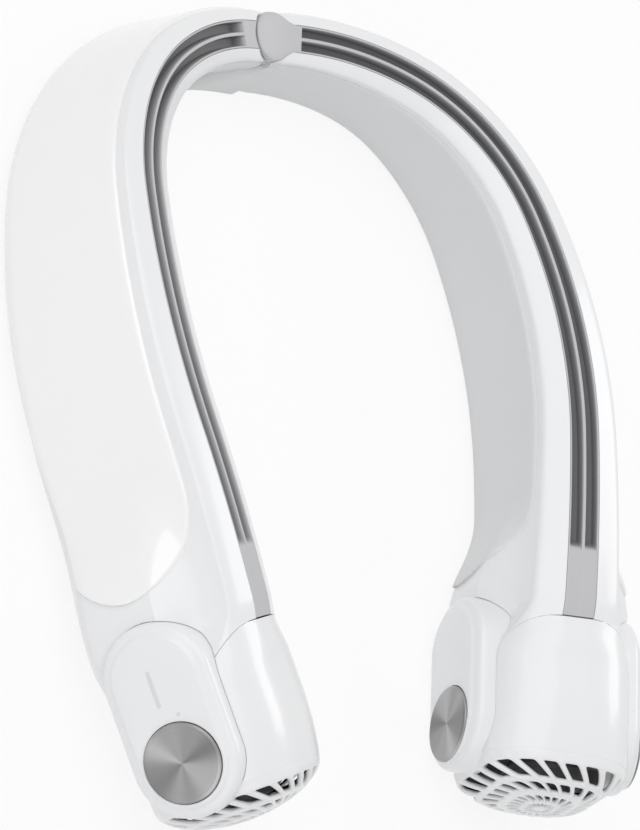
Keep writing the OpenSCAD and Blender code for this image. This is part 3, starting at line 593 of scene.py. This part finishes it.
def dress(piece, body, slotName, *replaced, finish=None, inside=False):
    # Finish, body, slot and the CAD nodes that the piece stands for; inside keeps its dark faces, painted shade inside
    # the arms and pods
    marks = [p.material_index for p in piece.data.polygons]
    piece.data.materials.clear()
    piece.data.materials.append(finish or finishes[slotFinish[slotName]])
    if inside:
        piece.data.materials.append(finishes["darkPlasticAndShade"])
        piece.data.polygons.foreach_set("material_index", marks)
    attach(piece, body)
    if replaced:
        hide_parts(*replaced)
    return piece


def frameAt(xy, z, turn, leanTurn):
    return (Matrix.Translation((xy[0] * milli, (xy[1] + b.hingeY) * milli, z * milli))
            @ Matrix.Rotation(math.radians(90 - turn), 4, "Z") @ Matrix.Rotation(math.radians(-leanTurn), 4, "Y"))


def stationFrame(s):
    # x outwards across the band, y back along the arm, z up from the slot line
    return frameAt(plan(s), slotZ(s), heading(s), lean(s))


podFrame = frameAt(bendEndXy - runStep(b.bendL, podHeading), slotZ(armL + b.podL), podHeading, b.endLean)


def shift(x, y, z):
    return Matrix.Translation((x * milli, y * milli, z * milli))


def capFrame(face):
    # x along the outward normal of the cap's face, from the middle of the pod
    flip = Matrix.Scale(-1, 4, (1, 0, 0)) if face < 0 else Matrix.Identity(4)
    return podFrame @ flip @ shift(0, -b.discS, -b.discV) @ Matrix.Rotation(math.radians(-b.capTilt), 4, "Y")


stadiumLook = {"round": 48, "straight": 12, "between": (0.35, 0.7, 0.93)}


def stadium(r, run):
    # Closed outline with two round ends along y, starting at the foot of the first end
    many, steps = stadiumLook["round"] + 1, stadiumLook["straight"]
    points = [(r * math.cos(t), r * math.sin(t)) for t in np.linspace(1.5 * math.pi, 0.5 * math.pi, many)]
    points += [(run * k / steps, r) for k in range(1, steps)]
    points += [(run + r * math.cos(t), r * math.sin(t)) for t in np.linspace(0.5 * math.pi, -0.5 * math.pi, many)]
    return points + [(run * (steps - k) / steps, -r) for k in range(1, steps)]


def stadiumStack(name, rings, run, matrix, side="right", disc=None, start=0.0):
    # rings: (radius, x) of stadium outlines from start; disc: (radius, x) circles round the origin, after the rings
    loops = [[(x, y + start, z) for y, z in stadium(r, run)] for r, x in rings]
    if disc:
        edge = loops[-1]
        turns = [math.atan2(z, y) for x, y, z in edge]
        circles = [[(x, r * math.cos(t), r * math.sin(t)) for t in turns] for r, x in disc]
        for k in stadiumLook["between"]:
            loops.append([tuple(lerp(p[i], q[i], k) for i in range(3)) for p, q in zip(edge, circles[0])])
        loops += circles
    points = [p for loop in loops for p in loop]
    return addPiece(name, points, tubeFaces(len(loops), len(loops[0])), side, matrix)


def spread(*parts):
    # Stations from several (start, end, count) runs, without repeats
    return sorted({round(float(v), 4) for start, end, count in parts for v in np.linspace(start, end, count + 1)})


firstFull = 8.6  # first station that is clear of the hinge barrel
armStops = spread((firstFull, napeL, 16), (napeL, cornerEnd, 26), (cornerEnd, arcEnd, 26), (arcEnd, armL - 6, 14),
                  (armL - 6, armL, 6))
seamStops = [armL + b.seamR * (1 - math.cos(math.radians(k))) for k in range(10, 91, 8)]
podStops = seamStops + spread((armL + b.seamR + 1.5, armL + b.podL, 18))

# Charging port: (radius, x) outlines, x from the panel's face
portLook = {
    "run": 7.4, "hole": 5.05, "holeDeep": 7, "holeOver": 4,
    "bezel": [(4.8, -4), (4.8, -0.1), (4.7, 0.08), (4.45, 0.15), (4.15, 0.1), (3.98, -0.1), (3.95, -1.5)],
    "cover": [(3.8, -1.35), (3.8, -0.25), (3.7, -0.06), (3.45, 0), (2.6, 0), (2.4, -0.1), (1.0, -0.18)],
}
portFrame = stationFrame(b.portS) @ shift(0, -portLook["run"] / 2, -depth(b.portS) / 2)


def portCutter():
    n, look = half(b.portS), portLook
    rings = [(look["hole"], n - look["holeDeep"]), (look["hole"], n + look["holeOver"])]
    return stadiumStack("portCutter", rings, look["run"], portFrame)


# Shells
shellLook = {
    "columns": 34, "room": {"right": 7.15, "left": 7.6}, "firstShares": (0, 0.3, 0.65), "edge": 0.25,
    "seamGap": 0.06, "seamSnap": 0.12, "windowGap": 0.14, "windowFoot": 13, "windowOver": 4,
}


def shellIndexes(s):
    # Even columns, of which those above the seam end on it
    top = 1 if s <= armL else seamAt(s) + shellLook["seamGap"]
    even = [lerp(1, lastI, j / (shellLook["columns"] - 1)) for j in range(shellLook["columns"])]
    return [i if i > top + shellLook["seamSnap"] else top for i in even]


def capCutter(face, side):
    start, out = capShape[side, face]
    r = b.capR + shellLook["windowGap"]
    rings = [(r, shellLook["windowFoot"]), (r, out + shellLook["windowOver"])]
    return stadiumStack("cutter", rings, b.capEnd - start, capFrame(face), side, start=start)


def faceRows(face, room, off):
    # Rows of points on one face of the band; the first rows follow the hinge barrel
    def point(s, i):
        n, v = section(s, i, off)
        return place(s, face * n, v)

    columns = shellIndexes(0)
    starts = [startS(section(0, i, off)[0] * face, room) for i in columns]
    rows = [[point(lerp(s, firstFull, share), i) for s, i in zip(starts, columns)]
            for share in shellLook["firstShares"]]
    return rows + [[point(s, i) for i in shellIndexes(s)] for s in armStops + podStops]


def makeShell(side, face):
    name = "arm_outer" if face > 0 else "arm_inner"
    room = shellLook["room"][side]
    shell = thickPatch(f"{name}_{side}", faceRows(face, room, 0), faceRows(face, room, b.wall), side, True)
    bevel(shell, shellLook["edge"])
    cutters = [capCutter(face, side)]
    if side == "right" and face > 0:
        cutters.append(portCutter())
    carve(shell, cutters, weighted=True)
    dress(shell, f"{side}_arm", "white_shell", f"{name}_shell_{side}", inside=True)


for side in sideSign:
    for face in (1, -1):
        makeShell(side, face)
print("arm shells lofted")

# Panels and pads: ends along the arm, and places on a section's outline
skinLook = {
    "end": armL - 14, "round": 24, "endTurn": 5, "top": cornerI + 0.2, "low": lowI + 2, "lowEnd": lowI + 0.4,
    "lowRun": 90, "columns": 30, "soft": 1.1, "sink": 0.25, "under": 0.5, "hingeGap": 0.1,
    "sideSteps": 4.4,  # steps of the outline down a section's side
}
padLook = {
    **skinLook, "end": armL - 17, "round": 22, "lowEnd": lowI + 1.6,
    "thick": 3.8, "thickRun": 62, "thickSteps": 4, "thickLead": 0.3,
}
flapLook = {  # pairs go from the root of the flap to its tip
    "span": (3, -33), "steps": 26, "top": (cornerI + 0.25, lowI + 1.3), "topPower": 0.8, "low": (lowI + 2, lowI + 2.3),
    "thick": (1.1, 0.7), "least": 0.3, "thinning": 0.55, "under": 0.15, "edge": 0.3,
}


def skinSpan(s, face):
    # Highest and lowest place on the outline that a panel or pad covers at a station
    look = skinLook if face > 0 else padLook
    low = lerp(look["low"], look["lowEnd"], smooth((s - look["end"] + look["lowRun"]) / look["lowRun"]))
    q = clamp01((s - look["end"] + look["round"]) / look["round"])
    reach = (low - look["top"]) / 2 * math.sqrt(max(0.0, 1 - q * q))
    middle = (look["top"] + low) / 2
    return middle - reach, middle + reach


def skinColumns(top, low):
    columns = skinLook["columns"]
    return [(top + low) / 2 + (low - top) / 2 * math.sin(math.pi * (j / (columns - 1) - 0.5)) for j in range(columns)]


def skinLifts(s, row, thick):
    # Lift of each column over the shell, low at both edges
    perIndex = (depth(s) - drop(s)) / skinLook["sideSteps"]
    sink = skinLook["sink"]
    lifts = []
    for i in row:
        q = clamp01(min(i - row[0], row[-1] - i) * perIndex / skinLook["soft"])
        lifts.append(-sink + (thick + sink) * math.sqrt(max(0.0, 1 - (1 - q) ** 2)))
    return lifts


def padExtra(s, i):
    # The right pad is thicker at the nape, most of all low down
    full = padLook["thick"] * smooth((padLook["thickRun"] - s) / padLook["thickRun"])
    return full * smooth((i - cornerI) / padLook["thickSteps"])


def makeSkin(side, face):
    # A panel or pad whose edge rolls down into the shell under it
    look = skinLook if face > 0 else padLook
    room = shellLook["room"][side]
    stops = [s for s in armStops if s < look["end"] - look["round"] - 1]
    stops += [look["end"] - look["round"] * (1 - math.sin(math.radians(k))) for k in range(0, 90, look["endTurn"])]
    stops.append(look["end"] - 0.02)
    outer, inner = [], []
    for k, s in [(share, 0) for share in shellLook["firstShares"]] + [(None, s) for s in stops]:
        row = skinColumns(*skinSpan(s, face))
        top, under = [], []
        for i, lift in zip(row, skinLifts(s, row, b.skinT)):
            if face < 0 and side == "right":
                lift += padExtra(s, i) * clamp01(lift / b.skinT + look["thickLead"])
            at = s
            if k is not None:
                at = lerp(startS(face * section(s, i)[0], room) + look["hingeGap"], stops[0], k)
            for off, points in ((-lift, top), (look["under"], under)):
                n, v = section(s, i, off)
                points.append(place(at, face * n, v))
        outer.append(top)
        inner.append(under)
    name = "outer_panel" if face > 0 else "inner_pad"
    skin = thickPatch(f"{name}_skin_{side}", outer, inner, side)
    carve(skin, [portCutter()] if side == "right" and face > 0 else [])
    dress(skin, f"{side}_arm", "panel_gloss" if face > 0 else "neck_pad", f"{name}_{side}")


def makeFlap():
    # The right pad runs on past the hinge to a point, over the left arm's inner face
    look = flapLook
    first, last = look["span"]
    outer, inner = [], []
    for s in np.linspace(first, last, look["steps"]):
        t = clamp01((first - s) / (first - last))
        row = skinColumns(lerp(*look["top"], t ** look["topPower"]), lerp(*look["low"], t))
        lifts = skinLifts(s, row, b.skinT + lerp(*look["thick"], t))
        thick, under = [], []
        for i, lift in zip(row, lifts):
            extra = padExtra(max(s, 0), i) * (1 - look["thinning"] * t)
            for off, points in ((-max(lift, look["least"]) - extra, thick), (-look["under"], under)):
                n, v = section(abs(s), i, off)
                points.append(place(s, -n, v))
        outer.append(thick)
        inner.append(under)
    flap = thickPatch("pad_flap_right", outer, inner, "right")
    bevel(flap, look["edge"])
    settle(flap)
    dress(flap, "right_arm", "neck_pad")


makeFlap()
for side in sideSign:
    makeSkin(side, 1)
    makeSkin(side, -1)
print("panels and pads laid on")

# Slot strips
stripLook = {
    "first": 8.7, "join": {"right": 7.02, "left": 7.45}, "start": {"right": (9.4, 1.6), "left": (12.6, 3)},
    "endL": 4, "floorT": 1.4, "lip": 0.5, "round": 0.3,
}


def grooveAt(s, side):
    first, run = stripLook["start"][side]
    return max(0.02, b.grooveDepth * smooth((s - first) / run) * smooth((armL - b.fillerL - s) / stripLook["endL"]))


def stripRing(s, side):
    # Points across the strip and back underneath, with the share of the groove's depth at each, which sets the painted
    # shade
    a, g, r = ventHalf(s) - b.gap, grooveAt(s, side), b.ribW / 2
    t, k = a - stripLook["lip"], min(stripLook["round"], g / 3)
    half1 = [(a, 0), (t + k * 0.4, 0), (t, -k * 0.5), (t, -g * 0.35), (t - 0.05, -g + 2 * k), (t - k, -g + k * 0.5),
             ((t + r) / 2, -g), (r + k, -g + k * 0.5), (r + 0.05, -g + 2 * k), (r, -g * 0.35), (r, -k * 0.5),
             (r - k * 0.4, 0)]
    ring = [(-x, y) for x, y in half1] + half1[::-1]
    low = b.grooveDepth + stripLook["floorT"]
    ring += [(a, -low), (0, -low), (-a, -low)]
    return ring, [min(1.0, -y / b.grooveDepth) for x, y in ring]


def makeStrip(side):
    close = armL - b.fillerL
    stops = spread((stripLook["first"], 17, 14), (17, napeL, 12), (napeL, cornerEnd, 26), (cornerEnd, arcEnd, 26),
                   (arcEnd, close - 6, 8), (close - 6, close + 1, 14), (close + 1, armL - b.gap, 4))
    points, shares = [], []
    ring, grooveShade = stripRing(0, side)
    for share in (0, 0.5):
        for x, y in ring:
            s0 = math.sqrt(max(0.0, stripLook["join"][side] ** 2 - x * x))
            points.append(place(lerp(s0, stops[0], share), x, y))
        shares += grooveShade
    for s in stops:
        ring, grooveShade = stripRing(s, side)
        points += [place(s, x, y) for x, y in ring]
        shares += grooveShade
    faces = tubeFaces(len(points) // len(ring), len(ring))
    strip = addPiece(f"slot_strip_{side}", points, faces, side, merge=False)
    # depthShare sets the painted shade down the grooves
    strip.data.attributes.new("depthShare", "FLOAT", "POINT").data.foreach_set("value", shares)
    settle(strip, 40)
    dress(strip, f"{side}_arm", "vent_grey", f"slot_vent_{side}")


for side in sideSign:
    makeStrip(side)
print("slot strips lofted")

# Pods
coverLook = {"columns": 26, "edge": 0.12, "seam": 0.28, "lap": 0.03}


def makeCover(side):
    look = coverLook
    stops = [armL + look["seam"]] + [s for s in podStops if s > armL + 2 * look["seam"]]

    def row(s, off):
        points = []
        for j in range(-look["columns"], look["columns"] + 1):
            q = math.sin(math.pi / 2 * j / look["columns"]) * (seamAt(s) - look["lap"])
            n, v = section(s, abs(q), off)
            points.append(place(s, math.copysign(n, q) if q else 0, v))
        return points

    cover = thickPatch(f"pod_front_{side}", [row(s, 0) for s in stops], [row(s, b.coverWall) for s in stops], side,
                       True)
    bevel(cover, look["edge"], 3)
    carve(cover, [capCutter(face, side) for face in (1, -1)], weighted=True)
    dress(cover, f"{side}_arm", "white_shell", f"pod_cover_{side}", inside=True)


grilleLook = {
    "slots": 20, "open": 0.62, "openSoft": 0.22, "slant": 75, "hub": 0.05, "rim": 0.975,
    "rings": [(0.09, 0.16), (0.26, 0.38), (0.52, 0.67), (0.765, 0.955)],  # as shares of the pod's outline
    "ringSoft": 0.25, "wall": 1.9, "skirt": 0.9, "skirtShare": 0.998, "rimSteps": 281,
    "capReach": 14, "capLap": 0.4,  # slots stay closed under the side caps
}


def rimTable():
    # Outline of the pod's end: angle 0 is outwards and 90 is up, seen along the arm
    rows = []
    for face in (1, -1):
        for i in np.linspace(0, lastI, grilleLook["rimSteps"]):
            n, v = section(armL + b.podL, float(i))
            rows.append((math.degrees(math.atan2(v + grilleV, face * n)) % 360, face * n, v))
    return list(zip(*sorted(rows)))


rimTurns, rimN, rimV = rimTable()


def domePoint(q, turn):
    # q is the share of the way from the dome's pole to the rim
    n, v = (float(np.interp(turn % 360, rimTurns, values, period=360)) for values in (rimN, rimV))
    height = b.domeL * math.sqrt(max(0.0, 1 - q * q))
    return n * q, -b.podL - height, -grilleV + (v + grilleV) * q


def underCap(side, point):
    start = capShape[side, 1 if point[0] > 0 else -1][0]
    away = math.hypot(point[1] + b.discS - start, point[2] + b.discV)
    return abs(point[0]) > grilleLook["capReach"] and away < b.capR + grilleLook["capLap"]


def makeGrille(side):
    look, flip = grilleLook, sideSign[side]
    step = 360 / look["slots"]
    wide = step * look["open"]
    inner = wide / 2 - wide * look["openSoft"]
    angles = [k * step + c for k in range(look["slots"]) for c in (-wide / 2, -inner, inner, wide / 2)]
    rings = [(look["hub"], False)]  # share of the way to the rim, and whether slots open beyond it
    for low, high in look["rings"]:
        d = (high - low) * look["ringSoft"]
        rings += [(low, True), (low + d, True), (high - d, True), (high, False)]
    rings += [(look["rim"], False), (1.0, False)]
    count = len(angles)
    points = [domePoint(0, 0)]
    for q, _ in rings:
        points += [domePoint(q, a * flip - flip * look["slant"] * (1 - q)) for a in angles]
    shrink = look["skirtShare"]
    points += [(p[0] * shrink, -b.podL + look["skirt"], (p[2] + grilleV) * shrink - grilleV) for p in points[-count:]]
    faces = [(0, 1 + k, 1 + (k + 1) % count) for k in range(count)]
    for r, (_, opens) in enumerate(rings):
        for k in range(count):
            a, c = 1 + r * count + k, 1 + r * count + (k + 1) % count
            if opens and k % 4 != 3 and not underCap(side, points[a]):
                continue
            faces.append((a, c, c + count, a + count))
    grille = addPiece(f"domed_grille_{side}", points, faces, side, podFrame, merge=False)
    mesh = grille.data
    for name in ("whiteShell", "darkPlasticAndShade"):
        mesh.materials.append(finishes[name])
    centre = sum((f.center for f in mesh.polygons), Vector()) / len(mesh.polygons)
    pole = min(mesh.polygons, key=lambda f: f.center.y)
    if pole.normal.dot(pole.center - centre) < 0:
        mesh.flip_normals()
    # the dome's inside takes the dark finish as painted shade inside the pod
    thick = grille.modifiers.new("thick", "SOLIDIFY")
    thick.thickness, thick.offset, thick.material_offset = look["wall"] * milli, -1, 1
    fine = grille.modifiers.new("fine", "SUBSURF")
    fine.levels = fine.render_levels = 2
    settle(grille, 60)
    dress(grille, f"{side}_arm", "white_shell", f"end_grille_{side}", inside=True)


capLook = {
    # inset from the outline and drop from the face, from the side wall to the face
    "edge": [(0, 15), (0, 12.5), (0, 9.4), (0, 3.3), (0.1, 2.7), (0.35, 2.1), (0.8, 1.6), (1.4, 1.25), (2.1, 1.05),
             (2.6, 0.85), (2.9, 0.6), (3.15, 0.3), (3.45, 0.1), (3.8, 0)],
    "seat": [(11.02, 0.0), (10.98, 0.12), (10.95, 0.4), (10.95, 3.4)],  # radius and drop of the disc's seat
}


def makeCap(side, face):
    name = "outer" if face > 0 else "inner"
    start, out = capShape[side, face]
    rings = [(b.capR - d, out - h) for d, h in capLook["edge"]]
    seat = [(r, out - h) for r, h in capLook["seat"]]
    cap = stadiumStack(f"side_cap_{name}_shape_{side}", rings, b.capEnd - start, capFrame(face), side, seat, start)
    settle(cap, 45)
    many = len(stadium(b.capR, b.capEnd))
    # painted shade: the dark finish inside the pod stands in for its shade
    for polygon in cap.data.polygons:  # dark inside the pod: the wall's foot, and more of it behind the grille
        last = max(polygon.vertices)
        behind = all(v % many <= stadiumLook["round"] for v in polygon.vertices)
        polygon.material_index = int(last < 2 * many or last < 3 * many and behind)
    dress(cap, f"{side}_arm", "white_shell", f"side_cap_{name}_{side}", inside=True)


discLook = {
    "profile": [(0.02, -0.12), (3, -0.11), (6, -0.06), (9, 0.0), (9.9, 0.0), (10.25, -0.04), (10.5, -0.16),
                (10.7, -0.4), (10.8, -0.7), (10.8, -3.1), (0.02, -3.1)],
    "proud": 0.9,
    # turn: how far each disc's painted reflection wedges are turned
    "turn": {("right", 1): 0.4, ("right", -1): 1.5, ("left", 1): 2.6, ("left", -1): 0.9},
}


def makeDisc(side, face, body, node):
    matrix = capFrame(face) @ shift(capShape[side, face][1] + discLook["proud"], 0, 0)
    disc = lathe(f"spun_{node}", discLook["profile"], 96, matrix, side)
    settle(disc, 50)
    placed = (Matrix.Scale(-1, 4, (1, 0, 0)) @ matrix) if side == "left" else matrix
    finish = spunMetal(f"spunMetal_{node}", placed, discLook["turn"][(side, face)])
    dress(disc, body, "spun_metal", node, finish=finish)


noseLook = {"r": 13.5, "height": 6.5, "foot": -3, "chamfer": 1, "tip": 0.05, "turn": 0.49, "steps": 14}


def makeNose(side):
    # Dark hub cone behind each grille, which turns with the turbine
    facts = noseLook
    r, height, foot, chamfer = (facts[key] for key in ("r", "height", "foot", "chamfer"))
    dome = [(r * math.cos(t), height * math.sin(t)) for t in np.linspace(0, facts["turn"] * math.pi, facts["steps"])]
    profile = [(r - chamfer, foot), (r, foot + chamfer)] + dome + [(facts["tip"], height)]
    matrix = podFrame @ shift(0, -b.podL, -grilleV) @ Matrix.Rotation(math.radians(-90), 4, "Z")
    nose = lathe(f"turbine_nose_{side}", profile, 64, matrix, side)
    settle(nose, 50)
    dress(nose, f"turbine_{side}", "inner_plastic")


for side in sideSign:
    makeCover(side)
    makeNose(side)
    makeGrille(side)
    for face in (1, -1):
        makeCap(side, face)
makeDisc("right", 1, "right_arm", "disc_outer_right")
makeDisc("right", -1, "right_arm", "disc_inner_right")
makeDisc("left", 1, "power_button", "power_button")
makeDisc("left", -1, "left_arm", "disc_inner_left")
print("pods built")

# Indicator marks
markLook = {"bar": dict(y=16, z=-1.0, run=9, r=0.6), "dot": dict(y=12.4, z=3.4, run=0.01, r=0.6)}
markRings = [(1, -2), (1, 0.02), (0.7, 0.05)]  # share of the mark's radius, and height over the cap's face


def makeMark(name, node):
    facts = markLook[name]
    matrix = capFrame(1) @ shift(0, facts["y"], facts["z"])
    rings = [(facts["r"] * share, capShape["left", 1][1] + x) for share, x in markRings]
    mark = stadiumStack(f"indicator_{name}_lens", rings, facts["run"], matrix, "left")
    settle(mark, 50)
    dress(mark, "left_arm", "lens", node)


makeMark("bar", "indicator_bar")
makeMark("dot", "indicator_dot")

# Hinge
hingeLook = {  # (radius, x up) profiles of the three stacked rounds
    "barrel": [(0.02, -1.2), (6.96, -1.2), (7.0, -1.26), (7.0, -8.5), (6.9, -8.6), (0.02, -8.6)],
    "knuckle": [(0.02, -9.06), (6.85, -9.06), (7.0, -9.2), (7.0, -15.4), (6.85, -15.54), (0.02, -15.54)],
    "foot": [(0.02, -16.0), (6.85, -16.0), (7.0, -16.15), (7.0, -21.1), (6.7, -21.35), (0.02, -21.35)],
}
hingeFrame = stationFrame(0) @ Matrix.Rotation(math.radians(-90), 4, "Y")
topLook = {
    "lift": 0.55, "edge": 0.45, "edgeShare": 0.4, "edgeCut": 0.3, "flat": (0.6, 0.2, -0.2, -0.6), "skirt": 1.6,
    "leave": 3.9, "join": 9.6, "sunk": 0.03, "sinkStart": -1, "sinkOver": 0.5, "round": 40, "fillet": 13, "least": 0.02,
}


def hingeTop():
    # Round end of the barrel that runs into the right arm's strip with a fillet on each side
    look, r = topLook, b.barrelR
    leave, join = look["leave"], look["join"]
    rows = [(r * math.cos(t), r * math.sin(t)) for t in np.linspace(math.pi, math.acos(leave / r), look["round"])]
    wideStart, wideEnd = rows[-1][1], ventHalf(join) - b.gap
    slope = -leave / math.sqrt(r * r - leave * leave)
    for t in np.linspace(0, 1, look["fillet"])[1:]:
        k = (2 * t ** 3 - 3 * t ** 2 + 1, t ** 3 - 2 * t ** 2 + t, -2 * t ** 3 + 3 * t ** 2)
        rows.append((lerp(leave, join, t), k[0] * wideStart + k[1] * slope * (join - leave) + k[2] * wideEnd))
    loops = []
    for s, wide in rows:
        lift = lerp(look["lift"], look["sunk"], smooth((s - look["sinkStart"]) / (join + look["sinkOver"])))
        edge = min(look["edge"], wide * look["edgeShare"])
        cut = edge * look["edgeCut"]
        wide = max(wide, look["least"])
        half1 = [(wide, lift - look["skirt"]), (wide, lift - edge), (wide - cut, lift - cut), (wide - edge, lift)]
        flat = [((wide - edge) * k, lift) for k in look["flat"]]
        loops.append([place(s, x, y) for x, y in half1 + flat + [(-x, y) for x, y in half1[::-1]]])
    top = addPiece("hinge_top", [p for loop in loops for p in loop], tubeFaces(len(loops), len(loops[0])))
    settle(top, 50)
    dress(top, "right_arm", "hinge_grey", "hinge_cap")


hingeTop()
for part, body in (("barrel", "right_arm"), ("foot", "right_arm"), ("knuckle", "left_arm")):
    piece = lathe(f"hinge_{part}_skin", hingeLook[part], 72, hingeFrame)
    dress(settle(piece, 40), body, "hinge_grey")
print("hinge dressed")

for name, part, body, slotName, node in (
        ("port_bezel_ring", "bezel", "right_arm", "bezel_grey", "port_bezel"),
        ("port_cover_soft", "cover", "port_cover", "port_rubber", "port_cover")):
    face = half(b.portS) + b.skinT + b.belly / 2
    piece = stadiumStack(name, [(r, face + x) for r, x in portLook[part]], portLook["run"], portFrame)
    dress(settle(piece, 50), body, slotName, node)
print("port made")

# What is left of the CAD nodes
nodeSlot = {row["node"]: row["material_slot"] for row in frame["record"]["subparts"]}
for nodeName, nodeObject in cadNodes.items():
    slotName = nodeSlot[nodeName]
    finish = finishes.get(slotFinish.get(slotName, "steel"))
    nodeObject.data.materials.clear()
    nodeObject.data.materials.append(finish)
print("inner parts finished")

# Floor and lamps
worldLevel = 0.5
floorLook = {"colour": (0.93, 0.93, 0.935), "half": 1500, "z": -0.2, "roughness": 0.9, "glow": 0.86}
lamps = {  # place, aim, size and power
    "key": ((-0.6, 0.5, 1.3), (0, 0, 0), 1.5, 9.2),
    "fill": ((-0.7, -1.0, 0.7), (0, 0, 0.02), 1.4, 3.4),
    "rim": ((1.0, 0.2, 0.8), (0, 0, 0.02), 0.5, 2.4),
}


def seenAsBackground(start):
    # 1 for camera, glossy and transmission rays, which find a white floor and world
    path = [start.node("ShaderNodeLightPath", output=k) for k in (0, 3, 6)]
    return (path[0] + path[1] + path[2]).math("MINIMUM", 1.0)


def makeFloor():
    look = floorLook
    corners = [(x * look["half"], y * look["half"], look["z"]) for x, y in ((-1, -1), (1, -1), (1, 1), (-1, 1))]
    mesh = bpy.data.meshes.new("floor")
    mesh.from_pydata([tuple(c * milli for c in p) for p in corners], [], [(0, 1, 2, 3)])
    made = bpy.data.materials.new("floorPaper")
    made.use_nodes = True
    tree = made.node_tree
    start = Wire(tree)
    shader = tree.nodes["Principled BSDF"]
    shader.inputs["Base Color"].default_value = (*look["colour"], 1)
    shader.inputs["Roughness"].default_value = look["roughness"]
    glow = start.node("ShaderNodeEmission", None, {"Color": (1, 1, 1, 1), "Strength": 1.0})
    bright = start.node("ShaderNodeMixShader", None, {0: seenAsBackground(start) * look["glow"],
                                                      1: Wire(tree, shader.outputs[0]), 2: glow})
    tree.links.new(bright.socket, tree.nodes["Material Output"].inputs["Surface"])
    mesh.materials.append(made)
    linkNew("floor", mesh)


def makeWorld():
    world = bpy.data.worlds.new("studio")
    bpy.context.scene.world = world
    world.use_nodes = True
    tree = world.node_tree
    start = Wire(tree)
    level = seenAsBackground(start) * (1 - worldLevel) + worldLevel
    back = start.node("ShaderNodeBackground", None, {"Color": (1, 1, 1, 1), "Strength": level})
    tree.links.new(back.socket, tree.nodes["World Output"].inputs["Surface"])


def makeLamp(name, spot, aim, size, power):
    data = bpy.data.lights.new(name, "AREA")
    data.shape, data.size, data.energy = "SQUARE", size, power
    lamp = linkNew(name, data)
    lamp.location = spot
    lamp.rotation_mode = "QUATERNION"
    lamp.rotation_quaternion = (Vector(aim) - Vector(spot)).to_track_quat("-Z", "Y")


makeFloor()
makeWorld()
for name, facts in lamps.items():
    makeLamp(name, *facts)
bpy.context.scene.view_settings.view_transform = "Standard"
print("floor and lamps set")
